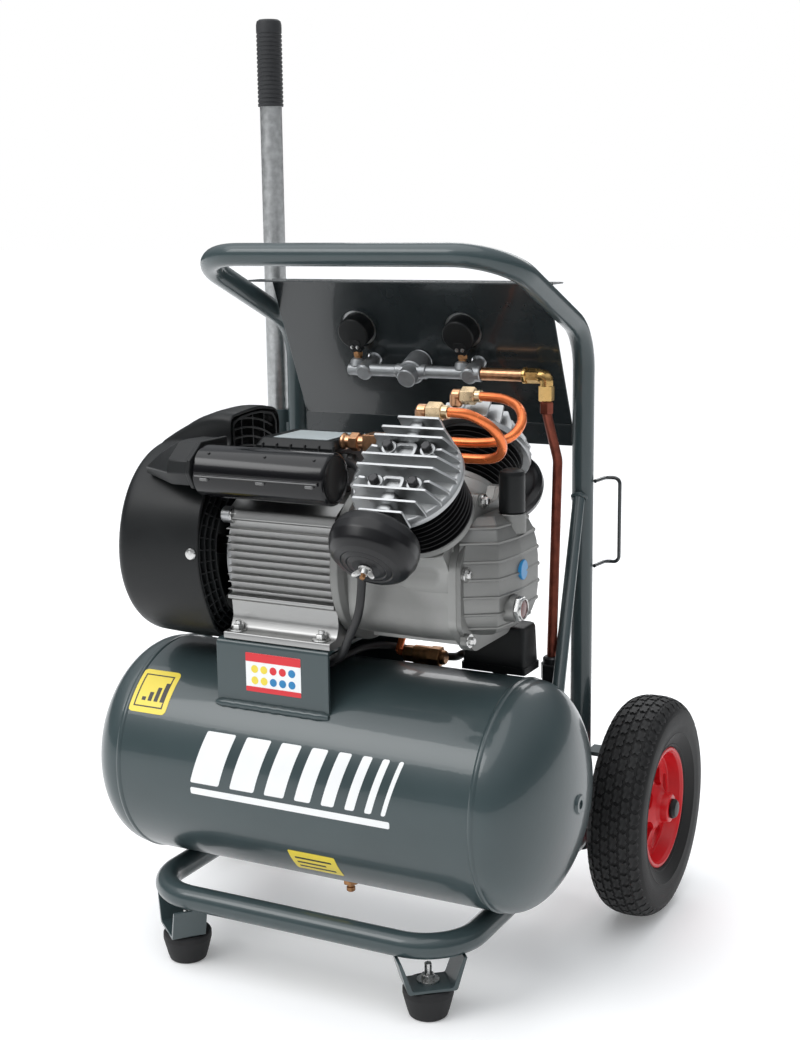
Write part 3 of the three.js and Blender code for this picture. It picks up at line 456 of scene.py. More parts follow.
LABEL = label("label_grey", (0.5, 0.55, 0.56), 0.4, 0.04, 0.02, 2)
WHITE = label("label_white", (0.86, 0.87, 0.87), mottle=0.02)
YELLOW = label("label_yellow", (0.83, 0.66, 0.06))
SIGNAL_RED = label("label_red", (0.68, 0.02, 0.03))
BLUE = label("label_blue", (0.01, 0.2, 0.45), mottle=0.04)
INK = label("label_black", (0.015, 0.015, 0.015), 0.4, 0.1)


def piece(name, shell, material, body="root", replaces=None, bevel=0.0, smooth=32):
    """Makes one visible piece: its mesh goes from millimetres about the tank into the row's frame.

    A piece that replaces a CAD node hides that node.
    """
    points = [(p.x * MM, p.y * MM + AXIS_Y, p.z * MM) for p in shell.points]
    mesh = shell_mesh(name, points, shell.faces)
    mesh.validate()
    mesh.polygons.foreach_set("use_smooth", [True] * len(mesh.polygons))
    mesh.set_sharp_from_angle(angle=math.radians(smooth))
    mesh.materials.append(material)
    obj = new_object(name, mesh)
    if bevel:
        rounding = obj.modifiers.new("edges", "BEVEL")
        rounding.width = bevel * MM
        rounding.segments = 2
        rounding.limit_method = "ANGLE"
        rounding.angle_limit = math.radians(38)
        rounding.harden_normals = True
    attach(obj, body)
    if replaces:
        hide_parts(replaces)


# ---------- tank ----------
def tank_body():
    half = []
    steps = 20
    for i in range(steps + 1):
        angle = math.pi / 2 * i / steps
        half.append((TANK_R * math.sin(angle), TANK_HALF + TANK_DOME * math.cos(angle)))
    bead_half, bead_height = 3.2, 1.3
    for k in range(7):
        t = -1 + k / 3
        half.append((TANK_R + bead_height * (1 - t * t), TANK_HALF - 5 - t * bead_half))
    return lathe(half + [(r, -t) for r, t in half[::-1]], "x", 128)


def tank():
    boss = [(0, 270), (12.5, 278.5), (10.6, 281), (10, 282.6), (9.4, 283.2), (5, 283.2), (4.6, 282.8),
            (4.6, 281.2), (0, 281.2)]
    return together(
        (tank_body() + lathe(boss, "x", ROUND)).shifted(0, 0, TANK_Z),
        rod((FEED_X, FEED_Y, 270), (FEED_X, FEED_Y, 315.7), 11),
        rod((DRAIN_X, 0, 93), (DRAIN_X, 0, 104), 11),
        rod((VALVE_X, VALVE_Y, 318), (VALVE_X, VALVE_Y, 330), 10),
    )


def tank_label(x0, x1, low, high, corner=2.0, lift=0.3, slant=0.0):
    """A thin label on the tank between two angles up from its front, moved by slant at its top."""
    rings = []
    tall = math.radians(high - low) * TANK_R
    steps = 24
    for i in range(steps + 1):
        along = tall * (0.5 - 0.5 * math.cos(math.pi * i / steps))
        near = min(along, tall - along, corner)
        inset = corner - math.sqrt(corner**2 - (corner - near) ** 2)
        turn = math.radians(low + (high - low) * along / tall)
        left, right = x0 + inset + slant * along / tall, x1 - inset + slant * along / tall
        ring = []
        for x, radius in ((left, 0.02), (right, 0.02), (right, lift), (left, lift)):
            radius += TANK_R
            ring.append((x, -radius * math.cos(turn), TANK_Z + radius * math.sin(turn)))
        rings.append(ring)
    return skin(rings)


def tank_labels():
    """Plain bars in place of a name, a bar chart and a block of lines."""
    bars = [(-118, 36), (-68, 30), (-25, 24), (12, 19), (44, 15), (72, 11), (95, 8), (114, 5)]
    stripes = [tank_label(x, x + wide, 1, 28, slant=16) for x, wide in bars]
    piece("stripes", together(*stripes, tank_label(-118, 124, -5, -1.5)), WHITE)
    piece("label_left", tank_label(-212, -162, 32, 57, 6), YELLOW)
    border = [(-206, -168, 35, 35.7), (-206, -168, 53.3, 54), (-206, -204.4, 35, 54), (-169.6, -168, 35, 54)]
    marks = [tank_label(*edges, 0, 0.45) for edges in border]
    marks += [tank_label(-198 + 8 * i, -193 + 8 * i, 38.5, 40.5 + 3 * i, 0.5, 0.45) for i in range(4)]
    piece("label_left_marks", together(*marks), INK)
    piece("label_low", tank_label(-8, 49, -47, -30), YELLOW)
    lines = [tank_label(-2, 42 - 9 * (i % 2), -44 + 4 * i, -42.6 + 4 * i, 0.3, 0.45) for i in range(3)]
    piece("label_low_marks", together(*lines), INK)


def drain_screw():
    return together(
        rod((0, 0, 86), (0, 0, 93), 4.2, SMALL),
        lathe([(0, 82), (8.2, 82), (9, 83), (9, 91), (8.2, 92.3), (0, 92.3)], sides=HEX),
        lathe([(0, 73), (4, 73), (5, 74), (5, 78), (3.8, 79), (3.8, 83), (0, 83)], sides=SMALL),
    ).shifted(DRAIN_X, 0, 0)


def saddle():
    y, top, wall, foot = SADDLE_Y, SADDLE_TOP, 4.0, 300
    outer = [(-y, foot), (-y, top, 6), (y, top, 6), (y, foot)]
    inner = [(y - wall, foot), (y - wall, top - wall, 3), (wall - y, top - wall, 3), (wall - y, foot)]
    sheet = prism(soft_outline(outer + inner, 0, 5), SADDLE_LEFT, SADDLE_RIGHT, "x")
    beads = []
    for side in (-1, 1):
        path = []
        count = 30
        for i in range(count + 1):
            x = SADDLE_LEFT - 1 + (SADDLE_RIGHT - SADDLE_LEFT + 2) * i / count
            out = y + 1.5 + 0.35 * math.sin(i * 1.7)
            path.append(Vector((x, side * out, 304.8 + 0.4 * math.sin(i * 2.3))))
        beads.append(sweep(path, lambda t: 4.6 * min(1, 0.55 + 9 * min(t, 1 - t)), 16))
    return together(sheet, *beads)


def saddle_label():
    """Coloured dots in two rows between a red band above and one below."""
    x0, x1, z0, z1 = -65.0, 3.0, 321.5, 364.0
    face, thick = -SADDLE_Y - 0.02, 0.25

    def plate(low, high, y):
        return upright(rectangle(x0, x1, low, high, 1), y, y - thick)

    piece("saddle_label", plate(z0, z1, face), WHITE)
    piece("saddle_label_bands", plate(z1 - 9.5, z1, face - 0.2) + plate(z0, z0 + 5.5, face - 0.2), SIGNAL_RED)
    materials = {"yellow": YELLOW, "red": SIGNAL_RED, "blue": BLUE}
    dots = {color: Shell() for color in materials}
    disc = lathe([(0, 0), (4.3, 0), (4.3, thick), (0, thick)], sides=24).spun(90, "X")
    rows = [["yellow", "yellow", "red", "red", "blue"], ["yellow", "yellow", "blue", "blue", "blue"]]
    for row, colors in enumerate(rows):
        for column, color in enumerate(colors):
            dots[color] += disc.shifted(x0 + 11 + 11.5 * column, face - 0.2, 346.5 - 12.5 * row)
    for color, material in materials.items():
        piece(f"saddle_label_{color}", dots[color], material)


piece("tank", tank(), PAINT, replaces="tank_shell")
tank_labels()
piece("drain", drain_screw(), BRONZE, "drain", "drain_screw")
piece("saddle_bracket", saddle(), PAINT, replaces="saddle", bevel=0.6)
saddle_label()


# ---------- frame ----------
def hoop():
    foot, shoulder, top = SKID_Z - SKID_R, 685.3, 778.5
    half = [(FRAME_X, 17.3, top), (FRAME_X, FRAME_Y, shoulder), (FRAME_X, FRAME_Y, foot)]
    corners = [(-x, y, z) for x, y, z in half[::-1]] + half
    return sweep(bend(corners, 62, 14), TUBE_R, 40)


def weld_ring(centre, way, radius):
    """A weld bead round a tube, slightly uneven."""
    path = []
    count, thick = 28, 2.2
    for i in range(count):
        angle = 2 * math.pi * i / count
        wave = radius + 0.4 * math.sin(5 * angle)
        path.append(Vector((wave * math.cos(angle), wave * math.sin(angle), 0.4 * math.sin(7 * angle))))
    return sweep(path, thick, 10, loop=True).moved(aim(centre, Vector(centre) + Vector(way)))


def upper_frame():
    parts = [hoop()]
    for s in SIDES.values():
        top, low = Vector((s * 190, 229, 500)), Vector((s * 230, 66, 312))
        ear = soft_outline([(236, 112, 5), (275, 112, 12), (275, 190, 8), (236, 190, 3)])
        parts += [
            rod(top, low, 7, 28),
            weld_ring(top + (low - top) * 0.012, low - top, 7.5),
            prism(ear, min(s * 219, s * 224), max(s * 219, s * 224), "x"),
            brick((min(s * 196, s * 222), 243, 184.5), (max(s * 196, s * 222), 271, 189.5)),
        ]
    sleeve = [(14.2, 440), (15.9, 440), (16.5, 441), (16.5, 579), (15.9, 580), (14.2, 580), (14.2, 440)]
    parts.append(lathe(sleeve, sides=SMOOTH).shifted(HANDLE_X, HANDLE_Y, 0))
    parts.append(brick((-211, 240.5, 456), (-197, 246.5, 564)))
    return together(*parts)


def foot_strap(s):
    """The bent strap that carries a foot: a flat base with two splayed legs, across the skid's corner."""
    wide, thick, top, base = 19.0, 3.5, 70, FOOT_H + 0.5
    outer = [(-33 - thick, top), (-33, top), (-25 + thick, base + thick, 3), (25 - thick, base + thick, 3),
             (33, top), (33 + thick, top), (26, base, 4), (-26, base, 4)]
    strap = upright(soft_outline(outer), -wide, wide)
    return strap.spun(s * 40, "Z").shifted(s * (FOOT_X + 3), FOOT_Y - 4, 0)


def skid():
    half = [(FRAME_X, SKID_FRONT, SKID_Z), (FRAME_X, FRAME_Y - TUBE_R - 0.3, SKID_Z)]
    path = bend([(-x, y, z) for x, y, z in half[::-1]] + half, 60, 14)
    return together(sweep(path, SKID_R, 40), foot_strap(-1), foot_strap(1))


def foot():
    profile = [(0, 0), (18.5, 0), (20.5, 1.5), (22.6, 8), (25.2, 18), (27, 25), (27, 31), (25.6, 33.6),
               (0, 33.6)]
    return turned(profile, "z", SMOOTH, 3, 1)


def hose_hook():
    x, top, low = FRAME_X + TUBE_R + 2.4, 515.5, 416
    out = [(x, 241), (x + 3, 272), (x + 19, 272)]
    corners = [(a, b, top) for a, b in out] + [(a, b, low) for a, b in out[::-1]]
    return sweep(bend(corners, 7, 6), 2.2, 16)


piece("frame_hoop", upper_frame(), PAINT, replaces="upper_frame", bevel=0.7)
piece("skid", skid(), PAINT, replaces="skid_frame", bevel=0.6)
for side, s in SIDES.items():
    piece(f"rubber_foot_{side}", foot().shifted(s * FOOT_X, FOOT_Y, 0), RUBBER, replaces=f"foot_{side}")
    nut = hex_bolt((s * FOOT_X, FOOT_Y, FOOT_H + 4), (0, 0, 1), 13, 6, stud=12)
    piece(f"foot_nut_{side}", nut, BOLT, bevel=0.2)
piece("wire_hook", hose_hook(), SHEET, replaces="hose_hook")


# ---------- wheels ----------
def tyre_radius(across):
    """Outer radius of the tyre's crown at a distance across from its middle."""
    return 100.5 + 28.6 * (1 - (abs(across) / 33.5) ** 2.6) ** (1 / 2.6)


def tyre():
    half = []
    steps, shoulder = 26, 32.2
    for i in range(steps + 1):
        angle = math.pi / 2 * i / steps
        across = shoulder * math.sin(angle)
        half.append((tyre_radius(across) - 1.3 * math.cos(angle), across))
    half += [(97, shoulder), (90, 30.6), (88.5, 31.1), (87, 30.2), (80, 26.5), (76, 24.2), (74.6, 24.6),
             (72.5, 23.4), (70.6, 20.5)]
    profile = [(r, -t) for r, t in half[::-1]] + half[1:]
    return lathe(profile + profile[:1], "x", 96)


def tread_block(around, across):
    """One zigzag tread block, mapped onto the crown."""
    teeth = [(-1, -0.75), (-0.45, -1), (0.15, -0.7), (0.5, -1), (1, -0.65), (0.72, -0.1), (1, 0.45),
             (0.55, 1), (0.05, 0.7), (-0.4, 1), (-1, 0.7), (-0.75, 0.15)]
    half_turn, half_wide = 3.55, 4.75
    rings = []
    for lift, scale in ((-1.6, 1), (0.5, 0.9)):
        ring = []
        for a, b in teeth:
            w = across + b * half_wide * scale
            turn = math.radians(around + a * half_turn * scale)
            radius = tyre_radius(min(abs(w), 32.6)) + lift
            ring.append((w, radius * math.cos(turn), radius * math.sin(turn)))
        rings.append(ring)
    return skin(rings)


def tread():
    blocks = []
    count = 46
    for row, across in enumerate((-26, -15.6, -5.2, 5.2, 15.6, 26)):
        for i in range(count):
            blocks.append(tread_block(360 / count * (i + 0.5 * (row % 2)) + 1.4 * row, across))
    return together(*blocks)


def rim():
    """The right wheel's rim: a dished disc with five windows between its spokes."""
    outer = RIM_R + 1.8
    profile = [
        (8.6, -31), (15, -31), (16, -29), (17.5, -6), (52, -4), (62, -6), (65, -22), (outer - 1.5, -22),
        (outer, -20.5), (outer, 20.5), (outer - 1.5, 23), (67, 23.5), (64.5, 20), (62, 6), (52, 5), (30, 11),
        (20, 18), (17.5, 22), (16.5, 30), (15, 31), (8.6, 31),
    ]
    dish = lathe(soft_outline(profile, 1.6, 3, closed=False) + profile[:1], "x", 72)
    corners = [(25, 9), (44, 19), (56, 17), (56, -17), (44, -19), (25, -9)]
    window = prism(soft_outline(corners, 5), -40, 40, "x")
    return carved(dish, *[window.spun(72 * i + 6, "X") for i in range(5)])


def hub_cap():
    profile = [(0, 299.6), (11.5, 299.6), (11.5, 302.4, 1), (9, 305.4, 1.5), (4, 306), (0, 306)]
    return turned(profile, "x", ROUND)


for side, s in SIDES.items():
    at = (s * WHEEL_X, WHEEL_Y, WHEEL_Z)
    wheel = f"wheel_{side}"
    piece(f"tyre_body_{side}", tyre().shifted(*at), TYRE, wheel, f"tyre_{side}")
    piece(f"tyre_tread_{side}", tread().shifted(*at), TYRE, wheel)
    outwards = 0 if side == "right" else 180
    piece(f"wheel_rim_{side}", rim().spun(outwards, "Z").shifted(*at), RED, wheel, f"rim_{side}", bevel=0.8,
          smooth=40)
piece("axle_bar", rod((-299.4, WHEEL_Y, WHEEL_Z), (299.4, WHEEL_Y, WHEEL_Z), 8), ZINC, replaces="axle")
piece("hub_caps", (hub_cap().spun(180, "Z") + hub_cap()).shifted(0, WHEEL_Y, WHEEL_Z), PLASTIC)


# ---------- pull handle ----------
def pull_tube():
    top = HANDLE_TOP - 6
    profile = [(11.2, 470), (13.1, 470), (13.4, 470.4), (13.4, top), (11.2, top), (11.2, 470)]
    return lathe(profile, sides=SMOOTH).shifted(HANDLE_X, HANDLE_Y, 0)


def handle_grip():
    low = HANDLE_TOP - 102
    profile = [(13.7, low), (15.2, low), (15.5, low + 0.6)]
    ribs = 17
    for i in range(ribs):
        start = low + 3 + 86 / ribs * i
        profile += [(15.5, start), (14.7, start + 0.8), (14.7, start + 1.7), (15.5, start + 2.5)]
    profile += [(15.5, HANDLE_TOP - 6), (14.6, HANDLE_TOP - 2), (12, HANDLE_TOP), (0, HANDLE_TOP)]
    profile += [(0, HANDLE_TOP - 5.5), (13.7, HANDLE_TOP - 5.5), (13.7, low)]
    return lathe(profile, sides=SMOOTH).shifted(HANDLE_X, HANDLE_Y, 0)


def clamp_screw():
    return together(
        upright(rectangle(-19, 19, -5, 5, 4), 279.5, 287),
        rod((0, 261.5, 0), (0, 282, 0), 4, 24),
        rod((0, 274, 0), (0, 288.2, 0), 8, ROUND, 1.2),
    ).shifted(HANDLE_X, 0, CLAMP_Z)


piece("handle_tube", pull_tube(), ZINC, "pull_handle", "pull_tube")
piece("grip", handle_grip(), GRIP, "pull_handle", "handle_grip")
piece("handle_clamp", clamp_screw(), PLASTIC, "clamp", "clamp_screw", bevel=0.8)


# ---------- motor ----------
def mirrored(half):
    """The other half of an outline, across its second axis."""
    return [(-point[0], *point[1:]) for point in half[::-1]]


def motor_housing():
    half = [(50, 376), (87, 376, 2), (87, 383.6, 2.5), (72, 385, 6), (67, 397, 12), (69, 415, 2),
            (76.5, 418, 1), (76.5, 421.5, 1), (68, 423, 1.5)]
    for i in range(9):
        z = 428 + 8.2 * i
        half += [(68, z - 1.2, 1), (75.5, z - 0.6, 0.5), (75.5, z + 0.6, 0.5), (68, z + 1.2, 1)]
    half += [(68, 502, 1), (73, 504, 3), (69, 514, 6), (50, 525, 2)]
    outline = soft_outline(half + mirrored(half) + [(-50, 391, 3), (50, 391, 3)], 0, 3)
    low, high = MOTOR_LEFT - 2, MOTOR_RIGHT + 2
    bore = lathe([(0, low), (58, low), (58, high), (0, high)], "x")
    return carved(prism(outline, MOTOR_LEFT, MOTOR_RIGHT, "x"), bore.shifted(*SHAFT))


def end_shield():
    plate = [(12, -14), (22, -14), (24, -8), (64, -8), (66, -6.5), (66, 0), (12, 0), (12, -14)]
    lugs = [rod((MOTOR_LEFT - 8, y, 507), (MOTOR_LEFT + 4, y, 507), 9, ROUND, 1) for y in (-66, 66)]
    return together(lathe(plate, "x").shifted(MOTOR_LEFT - 0.3, 0, SHAFT_Z), *lugs)


def motor_bolts():
    feet = [hex_bolt((x, y, 384.2), (0, 0, 1), 11, 5, stud=4) for x in (-79.9, 22.6) for y in (-76, 76)]
    return together(*feet, *[hex_bolt((MOTOR_LEFT + 4, y, 507), (1, 0, 0), 10, 5) for y in (-66, 66)])


piece("motor_body", motor_housing(), EXTRUDED, replaces="motor_housing", smooth=24)
piece("motor_shield", end_shield(), CAST, replaces="motor_end_shield")
piece("motor_bolts", motor_bolts(), BOLT, bevel=0.25)

# The fan cover's outline at its open rim and its tower's window, as (Y, Z) about the shaft.
COVER_OUTLINE = [
    (0, -103), (-33, -98), (-64, -83), (-78, -62), (-90, -36), (-97.5, -7), (-97.5, 25), (-90, 55),
    (-75.5, 76), (-52, 97), (-28.7, 118), (-25, 146), (-7, 151), (18, 153), (38, 153), (66, 148), (74, 136),
    (76, 112), (88, 80), (97, 45), (99, 10), (95, -25), (82, -60), (60, -84), (33, -98),
]
COVER_CURVE = [(p.y, p.z) for p in flow([(0, y, z) for y, z in COVER_OUTLINE], 6, loop=True)]
TOWER = [(-21, 100), (-21, 141, 5), (-6, 146, 10), (18, 148, 10), (38, 148, 10), (62, 143, 8), (69, 134, 6),
         (70, 104)]


def resized(outline, new_length):
    """The outline with each point at a new distance from the shaft's axis."""
    result = []
    for y, z in outline:
        scale = new_length(y, z) / math.hypot(y, z)
        result.append((y * scale, z * scale))
    return result


def shrunk(outline, inset):
    """The outline moved in towards the shaft's axis."""
    return resized(outline, lambda y, z: math.hypot(y, z) - inset)


def cover_section(inset, blend):
    """The cover's outline, moved in by inset and blended towards the round end."""
    def new_length(y, z):
        length = math.hypot(y, z)
        end = 102 + 14 * min(max(z / length, 0), 1) ** 2
        tall = min(max((length - 108) / 30, 0), 1)
        target = length + (end - length) * blend ** (1 + 0.7 * tall) + math.sin(math.pi * blend)
        return target + 2.5 * tall * math.sin(math.pi * min(1.6 * blend, 1)) - inset
    return resized(COVER_CURVE, new_length)


def cover_wall(inset):
    """The cover's outside, or a surface inside it, as sections from its rim to its flat end."""
    start, corner, stations = COVER_RIM - 3, 14.0, 14
    sections = [(COVER_RIM, cover_section(inset + 1.2, 0)), (COVER_RIM - 1, cover_section(inset + 0.2, 0)),
                (start, cover_section(inset, 0))]
    for i in range(1, stations + 1):
        t = i / stations
        sections.append((start - 90 * t, cover_section(inset, 0.95 * t)))
    for i in range(1, 8):
        angle = math.pi / 2 * i / 7
        x = COVER_END + corner * (1 - math.sin(angle)) + inset
        sections.append((x, cover_section(inset + corner * (1 - math.cos(angle)), 1)))
    return sections


def grille_slots():
    """Six rings of eight slots through the cover's round end."""
    slots = []
    for near in range(20, 86, 11):
        far, gap = near + 7, 150 / near
        for start in range(0, 360, 45):
            turns = [math.radians(start + gap + (45 - 2 * gap) * k / 8) for k in range(9)]
            outline = [(far * math.cos(turn), far * math.sin(turn)) for turn in turns]
            outline += [(near * math.cos(turn), near * math.sin(turn)) for turn in turns[::-1]]
            slots.append(prism(outline, COVER_END - 5, COVER_END + 9, "x"))
    return together(*slots)


def cover_body():
    inside = cover_wall(3)[2:]
    hollow = layers([(COVER_RIM + 4, inside[0][1])] + inside, "x")
    return carved(carved(layers(cover_wall(0), "x"), hollow), grille_slots()).shifted(*SHAFT)


def front_vent():
    """The ring of walls and ribs between the cover's rim and the motor."""
    low_rim = [(y, z) if z < 96 else (y * 96 / z, 96) for y, z in COVER_CURVE]
    rim_curve = resized(low_rim, lambda y, z: min(math.hypot(y, z), 101))
    parts = []
    for k in range(4):
        outer, inner = shrunk(rim_curve, 2.5 + 6.2 * k), shrunk(rim_curve, 4.4 + 6.2 * k)
        parts.append(band(outer, inner, COVER_RIM - 10, COVER_RIM + 1 + 3.1 * k))
    ribs = 44
    for i in range(ribs):
        turn = 2 * math.pi * i / ribs
        off = [abs(math.remainder(math.atan2(z, y) - turn, 2 * math.pi)) for y, z in rim_curve]
        reach = math.hypot(*rim_curve[off.index(min(off))])
        low, high = reach - 22, reach - 3.5
        side = [(COVER_RIM - 8, low), (COVER_RIM + 8.6, low), (COVER_RIM, high), (COVER_RIM - 8, high)]
        parts.append(upright(side, -0.7, 0.7).spun(math.degrees(math.pi / 2 - turn), "X"))
    return together(*parts)


def tower_vent():
    """Curved bars and upright ribs behind the tower's window, with a raised frame around it."""
    window = soft_outline(TOWER, 6, 5)
    bars = []
    for k in range(5):
        radius = 104 + 10 * k
        turns = [math.radians(a) for a in range(0, 360, 4)]
        ring = [(radius * math.cos(turn), radius * math.sin(turn)) for turn in turns]
        bars.append(band(ring, shrunk(ring, 2.2), COVER_RIM - 9, COVER_RIM - 3))
    bars += [brick((COVER_RIM - 9, y - 1.1, 90), (COVER_RIM - 3.5, y + 1.1, 160)) for y in (1, 24, 47)]
    opening = prism(window, COVER_RIM - 20, COVER_RIM + 5, "x")
    edge = band(window, [(y * 0.93 + 1.7, (z - 124) * 0.9 + 124) for y, z in window], COVER_RIM - 8,
                COVER_RIM - 0.5)
    return together(*[carved(bar, opening, operation="INTERSECT") for bar in bars], edge)


def capacitor_socket():
    full = [(-50, 587), (-98, 587), (-119, 571), (-122, 558), (-113, 544), (-50, 544)]
    collar = [(-50, 589), (-99, 589), (-121, 573), (-124.5, 559), (-115, 541.5), (-50, 541.5)]
    nose = [(-160, -40, 582), (-161, -64, 581), (-172, -79, 570), (-189, -82, 555), (-194, -74, 547),
            (-192, -40, 548)]
    body = skin([nose] + [[(x, y, z) for y, z in full] for x in (-133, -108)])
    return body + prism(collar, -108.5, -103.5, "x")


def cover_screws():
    head = lathe([(0, -2), (6.4, -2), (6.4, 0.6), (5.6, 1.8), (4.4, 2.3), (0, 2.4)], sides=ROUND)
    cross = brick((-3.6, -0.8, 0.8), (3.6, 0.8, 5)) + brick((-0.8, -3.6, 0.8), (0.8, 3.6, 5))
    screw = carved(head, cross)
    at = SHAFT_Z + 9.5
    return screw.spun(90, "X").shifted(-122.9, -99, at) + screw.spun(-90, "X").shifted(-122.9, 99.5, at)


def cooling_fan():
    blade = upright(soft_outline([(-190, 14), (-166, 14), (-166, 74), (-184, 80)], 5), -1.3, 1.3)
    hub = rod((-192, 0, 0), (-160, 0, 0), 18) + rod((-168, 0, 0), (-165, 0, 0), 74, FINE)
    return together(hub, *[blade.spun(45 * i, "X") for i in range(8)]).shifted(*SHAFT)


piece("cover_body", cover_body(), PLASTIC, replaces="fan_cover", smooth=38)
piece("cover_vent", (front_vent() + tower_vent()).shifted(*SHAFT), PLASTIC, bevel=0.3)
piece("cover_socket", capacitor_socket(), PLASTIC, bevel=1.4)
piece("cover_screws", cover_screws(), BOLT)
piece("fan_wheel", cooling_fan(), PLASTIC, "rotor_shaft", "cooling_fan")

# The clips along the capacitor's seam, as X.
CLIPS = (-88, -20, 38)


def capacitor():
    left, right = -102.7, 53.0
    profile = [(0, left), (CAP_R, left), (CAP_R, right - 4), (CAP_R - 0.6, right - 2),
               (CAP_R - 2, right - 0.6), (CAP_R - 3.4, right), (CAP_R - 4.2, right - 1.4),
               (CAP_R - 5, right - 1.8), (0, right - 1.8)]
    out, root = -CAP_R - 2.4, -CAP_R + 4
    parts = [
        lathe(profile, "x"),
        prism(soft_outline([(out, -3), (out, 0.6), (root, 1.4), (root, -3.8)], 0.9), -100, 48, "x"),
    ]
    for x in CLIPS:
        dot = Vector((x, -17.5, 21.2))
        parts.append(rod(dot, dot + Vector((0, -0.6, 0.8)) * 1.2, 1.6, SMALL, 0.4))
    return together(*parts).shifted(0, CAP_Y, CAP_Z) + brick((BOX_LEFT, -80, 546), (BOX_RIGHT, -15.4, 552))


def capacitor_seam_highlight():
    """A painted highlight in pale grey: a thin rod for the bright edge of the can's seam, and three clips
    along it in the same grey.
    """
    edge_y, edge_z = CAP_Y - CAP_R - 2.2, CAP_Z - 1.2
    parts = [rod((-99, edge_y, edge_z), (47, edge_y, edge_z), 0.7, 12, 0.3)]
    clip_y, clip_z = edge_y + 1.2, edge_z - 3.2
    parts += [rod((x - 5, clip_y, clip_z), (x + 5, clip_y, clip_z), 2, SMALL, 1) for x in CLIPS]
    return together(*parts)


def box_outline(grow, radius):
    return rectangle(BOX_LEFT - grow, BOX_RIGHT + grow, BOX_FRONT - grow, BOX_BACK + grow, radius)


def terminal_box():
    lid = ((571.8, 1.5), (573, 3), (576, 3), (577.4, 1.8), (583, -1.5), (584, -2.6))
    parts = [prism(box_outline(0, 5), 524.8, 571.8), layers([(z, box_outline(grow, 6)) for z, grow in lid])]
    side = [(-24, 553), (-14, 553), (-14, 579), (-18.4, 579)]
    other = [(47 - y, z) for y, z in side[::-1]]
    for i in range(6):
        x = -80 + 17.5 * i
        parts += [prism(side, x - 0.9, x + 0.9, "x"), prism(other, x - 0.9, x + 0.9, "x")]
    parts.append(brick((BOX_LEFT, -25, 552), (BOX_RIGHT, -14, 555)))
    parts.append(rod((5, 0, GLAND_Z), (10, 0, GLAND_Z), 8, ROUND, 0.8))
    return together(*parts)


def cable_gland():
    nut = lathe([(0, 10), (9.4, 10), (9.4, 17), (8.4, 18), (0, 18)], "x", HEX)
    cap = lathe([(0, 18), (7.6, 18), (7.6, 23), (5.2, 26), (0, 26)], "x", ROUND)
    return (nut + cap).shifted(0, 0, GLAND_Z)


LEAD_POINTS = [
    (10.4, 0, GLAND_Z), (40, -22, 558), (66, -62, 535), (80, -92, 492), (80, -92, 452), (74, -90, 419),
    (56, -80, 388), (44, -72, 371), (28, -64, 360), (16, -44, 350.5), (14, -10, 350.5), (16, 24, 350.5),
    (25, 57, 346), (38, 75, 340), (70, 83, 334), (100, 82, 335), (114, 74, 342), (122.6, 72, 345),
]
piece("capacitor_can", capacitor(), GLOSS, replaces="capacitor_housing", bevel=0.3)
# The capacitor seam's painted highlight: a pale grey rod and clips on the glossy black can.
piece("capacitor_seam_highlight", capacitor_seam_highlight(), SEAM_HIGHLIGHT)
piece("terminal_cover", terminal_box(), PLASTIC, replaces="terminal_box", bevel=0.5)
piece("blank_plate", prism(rectangle(-72, -4, -9, 50, 2), 583.9, 584.6), LABEL)
piece("cable_gland", cable_gland(), PLASTIC, bevel=0.4)
piece("motor_cable", sweep(flow(LEAD_POINTS), 4.5, 20), LEAD, replaces="motor_lead")


# ---------- crankcase ----------
def bank_place(bank):
    """Where a bank's own frame sits: Z outward along the bore, Y up the front bank's slope."""
    tilt = 45 if bank == "front" else -45
    return Matrix.Translation((BANK_X[bank], 0, SHAFT_Z)) @ Matrix.Rotation(math.radians(tilt), 4, "X")


def joint_flange(low, high):
    """The plate where the case and its cover meet, with an ear at the foot of each bank."""
    half = [(0, 71, 8), (13, 71, 10), (21, 84.5, 6), (33, 84.5, 6), (76, 20, 24), (76, -45, 20),
            (44, -76.5, 20)]
    outline = soft_outline(half + mirrored(half[1:]), 0, 5)
    return prism(outline, low, high, "x").shifted(*SHAFT)


def crankcase():
    """The case, hollow round the crank and open along both bores for the pistons."""
    flange = [(0, 38.3), (84, 38.3, 1), (86, 40, 1), (86, 48, 2), (78, 52, 4), (0, 52)]
    hollow = rod((62, 0, SHAFT_Z), (168, 0, SHAFT_Z), 62, FINE, 0)
    bores = [rod((0, 0, 0), (0, 0, 95), 30, SMOOTH, 0).moved(bank_place(bank)) for bank in BANK_X]
    stations = [(44, 72, 60), (58, 71, 52), (80, 70, 46), (130, 69.5, 40), (166, 69, 42), (172, 69, 44)]
    squares = [(x, rectangle(-half, half, -half, half, corner, 10)) for x, half, corner in stations]
    parts = [
        turned(flange, "x", 96).shifted(*SHAFT),
        joint_flange(169, JOINT_X - 0.3),
        brick((60, -30, -75), (170, 30, -66)).shifted(*SHAFT),
        carved(layers(squares, "x").shifted(*SHAFT), hollow, *bores),
    ]
    neck = [(10, 60, 44), (48, 57, 46), (62, 50, 46), (72, 48, 46), (84, 47, 46), (85, 46, 45)]
    squares = [(lift, rectangle(-half, half, -half, half, corner, 8)) for lift, half, corner in neck]
    past_joint = brick((170, -200, 300), (260, 200, 700))
    for bank in BANK_X:
        parts.append(carved(layers(squares).moved(bank_place(bank)), past_joint, hollow, *bores))
    return together(*parts)


def cover_plan(scale, grow=0.0):
    """The crankcase cover seen from above, as (X, Y) points."""
    corners = [(0, -72, 0), (35, -50, 3), (42, -8, 20), (41.5, 37, 12), (27, 57, 8), (0, 72, 0)]
    outline = []
    for x, y, radius in corners:
        out = JOINT_X + x * scale + (grow if x else 0)
        outline.append((out, y * scale + (grow if y > 0 else -grow), radius))
    return soft_outline(outline, 0, 6)


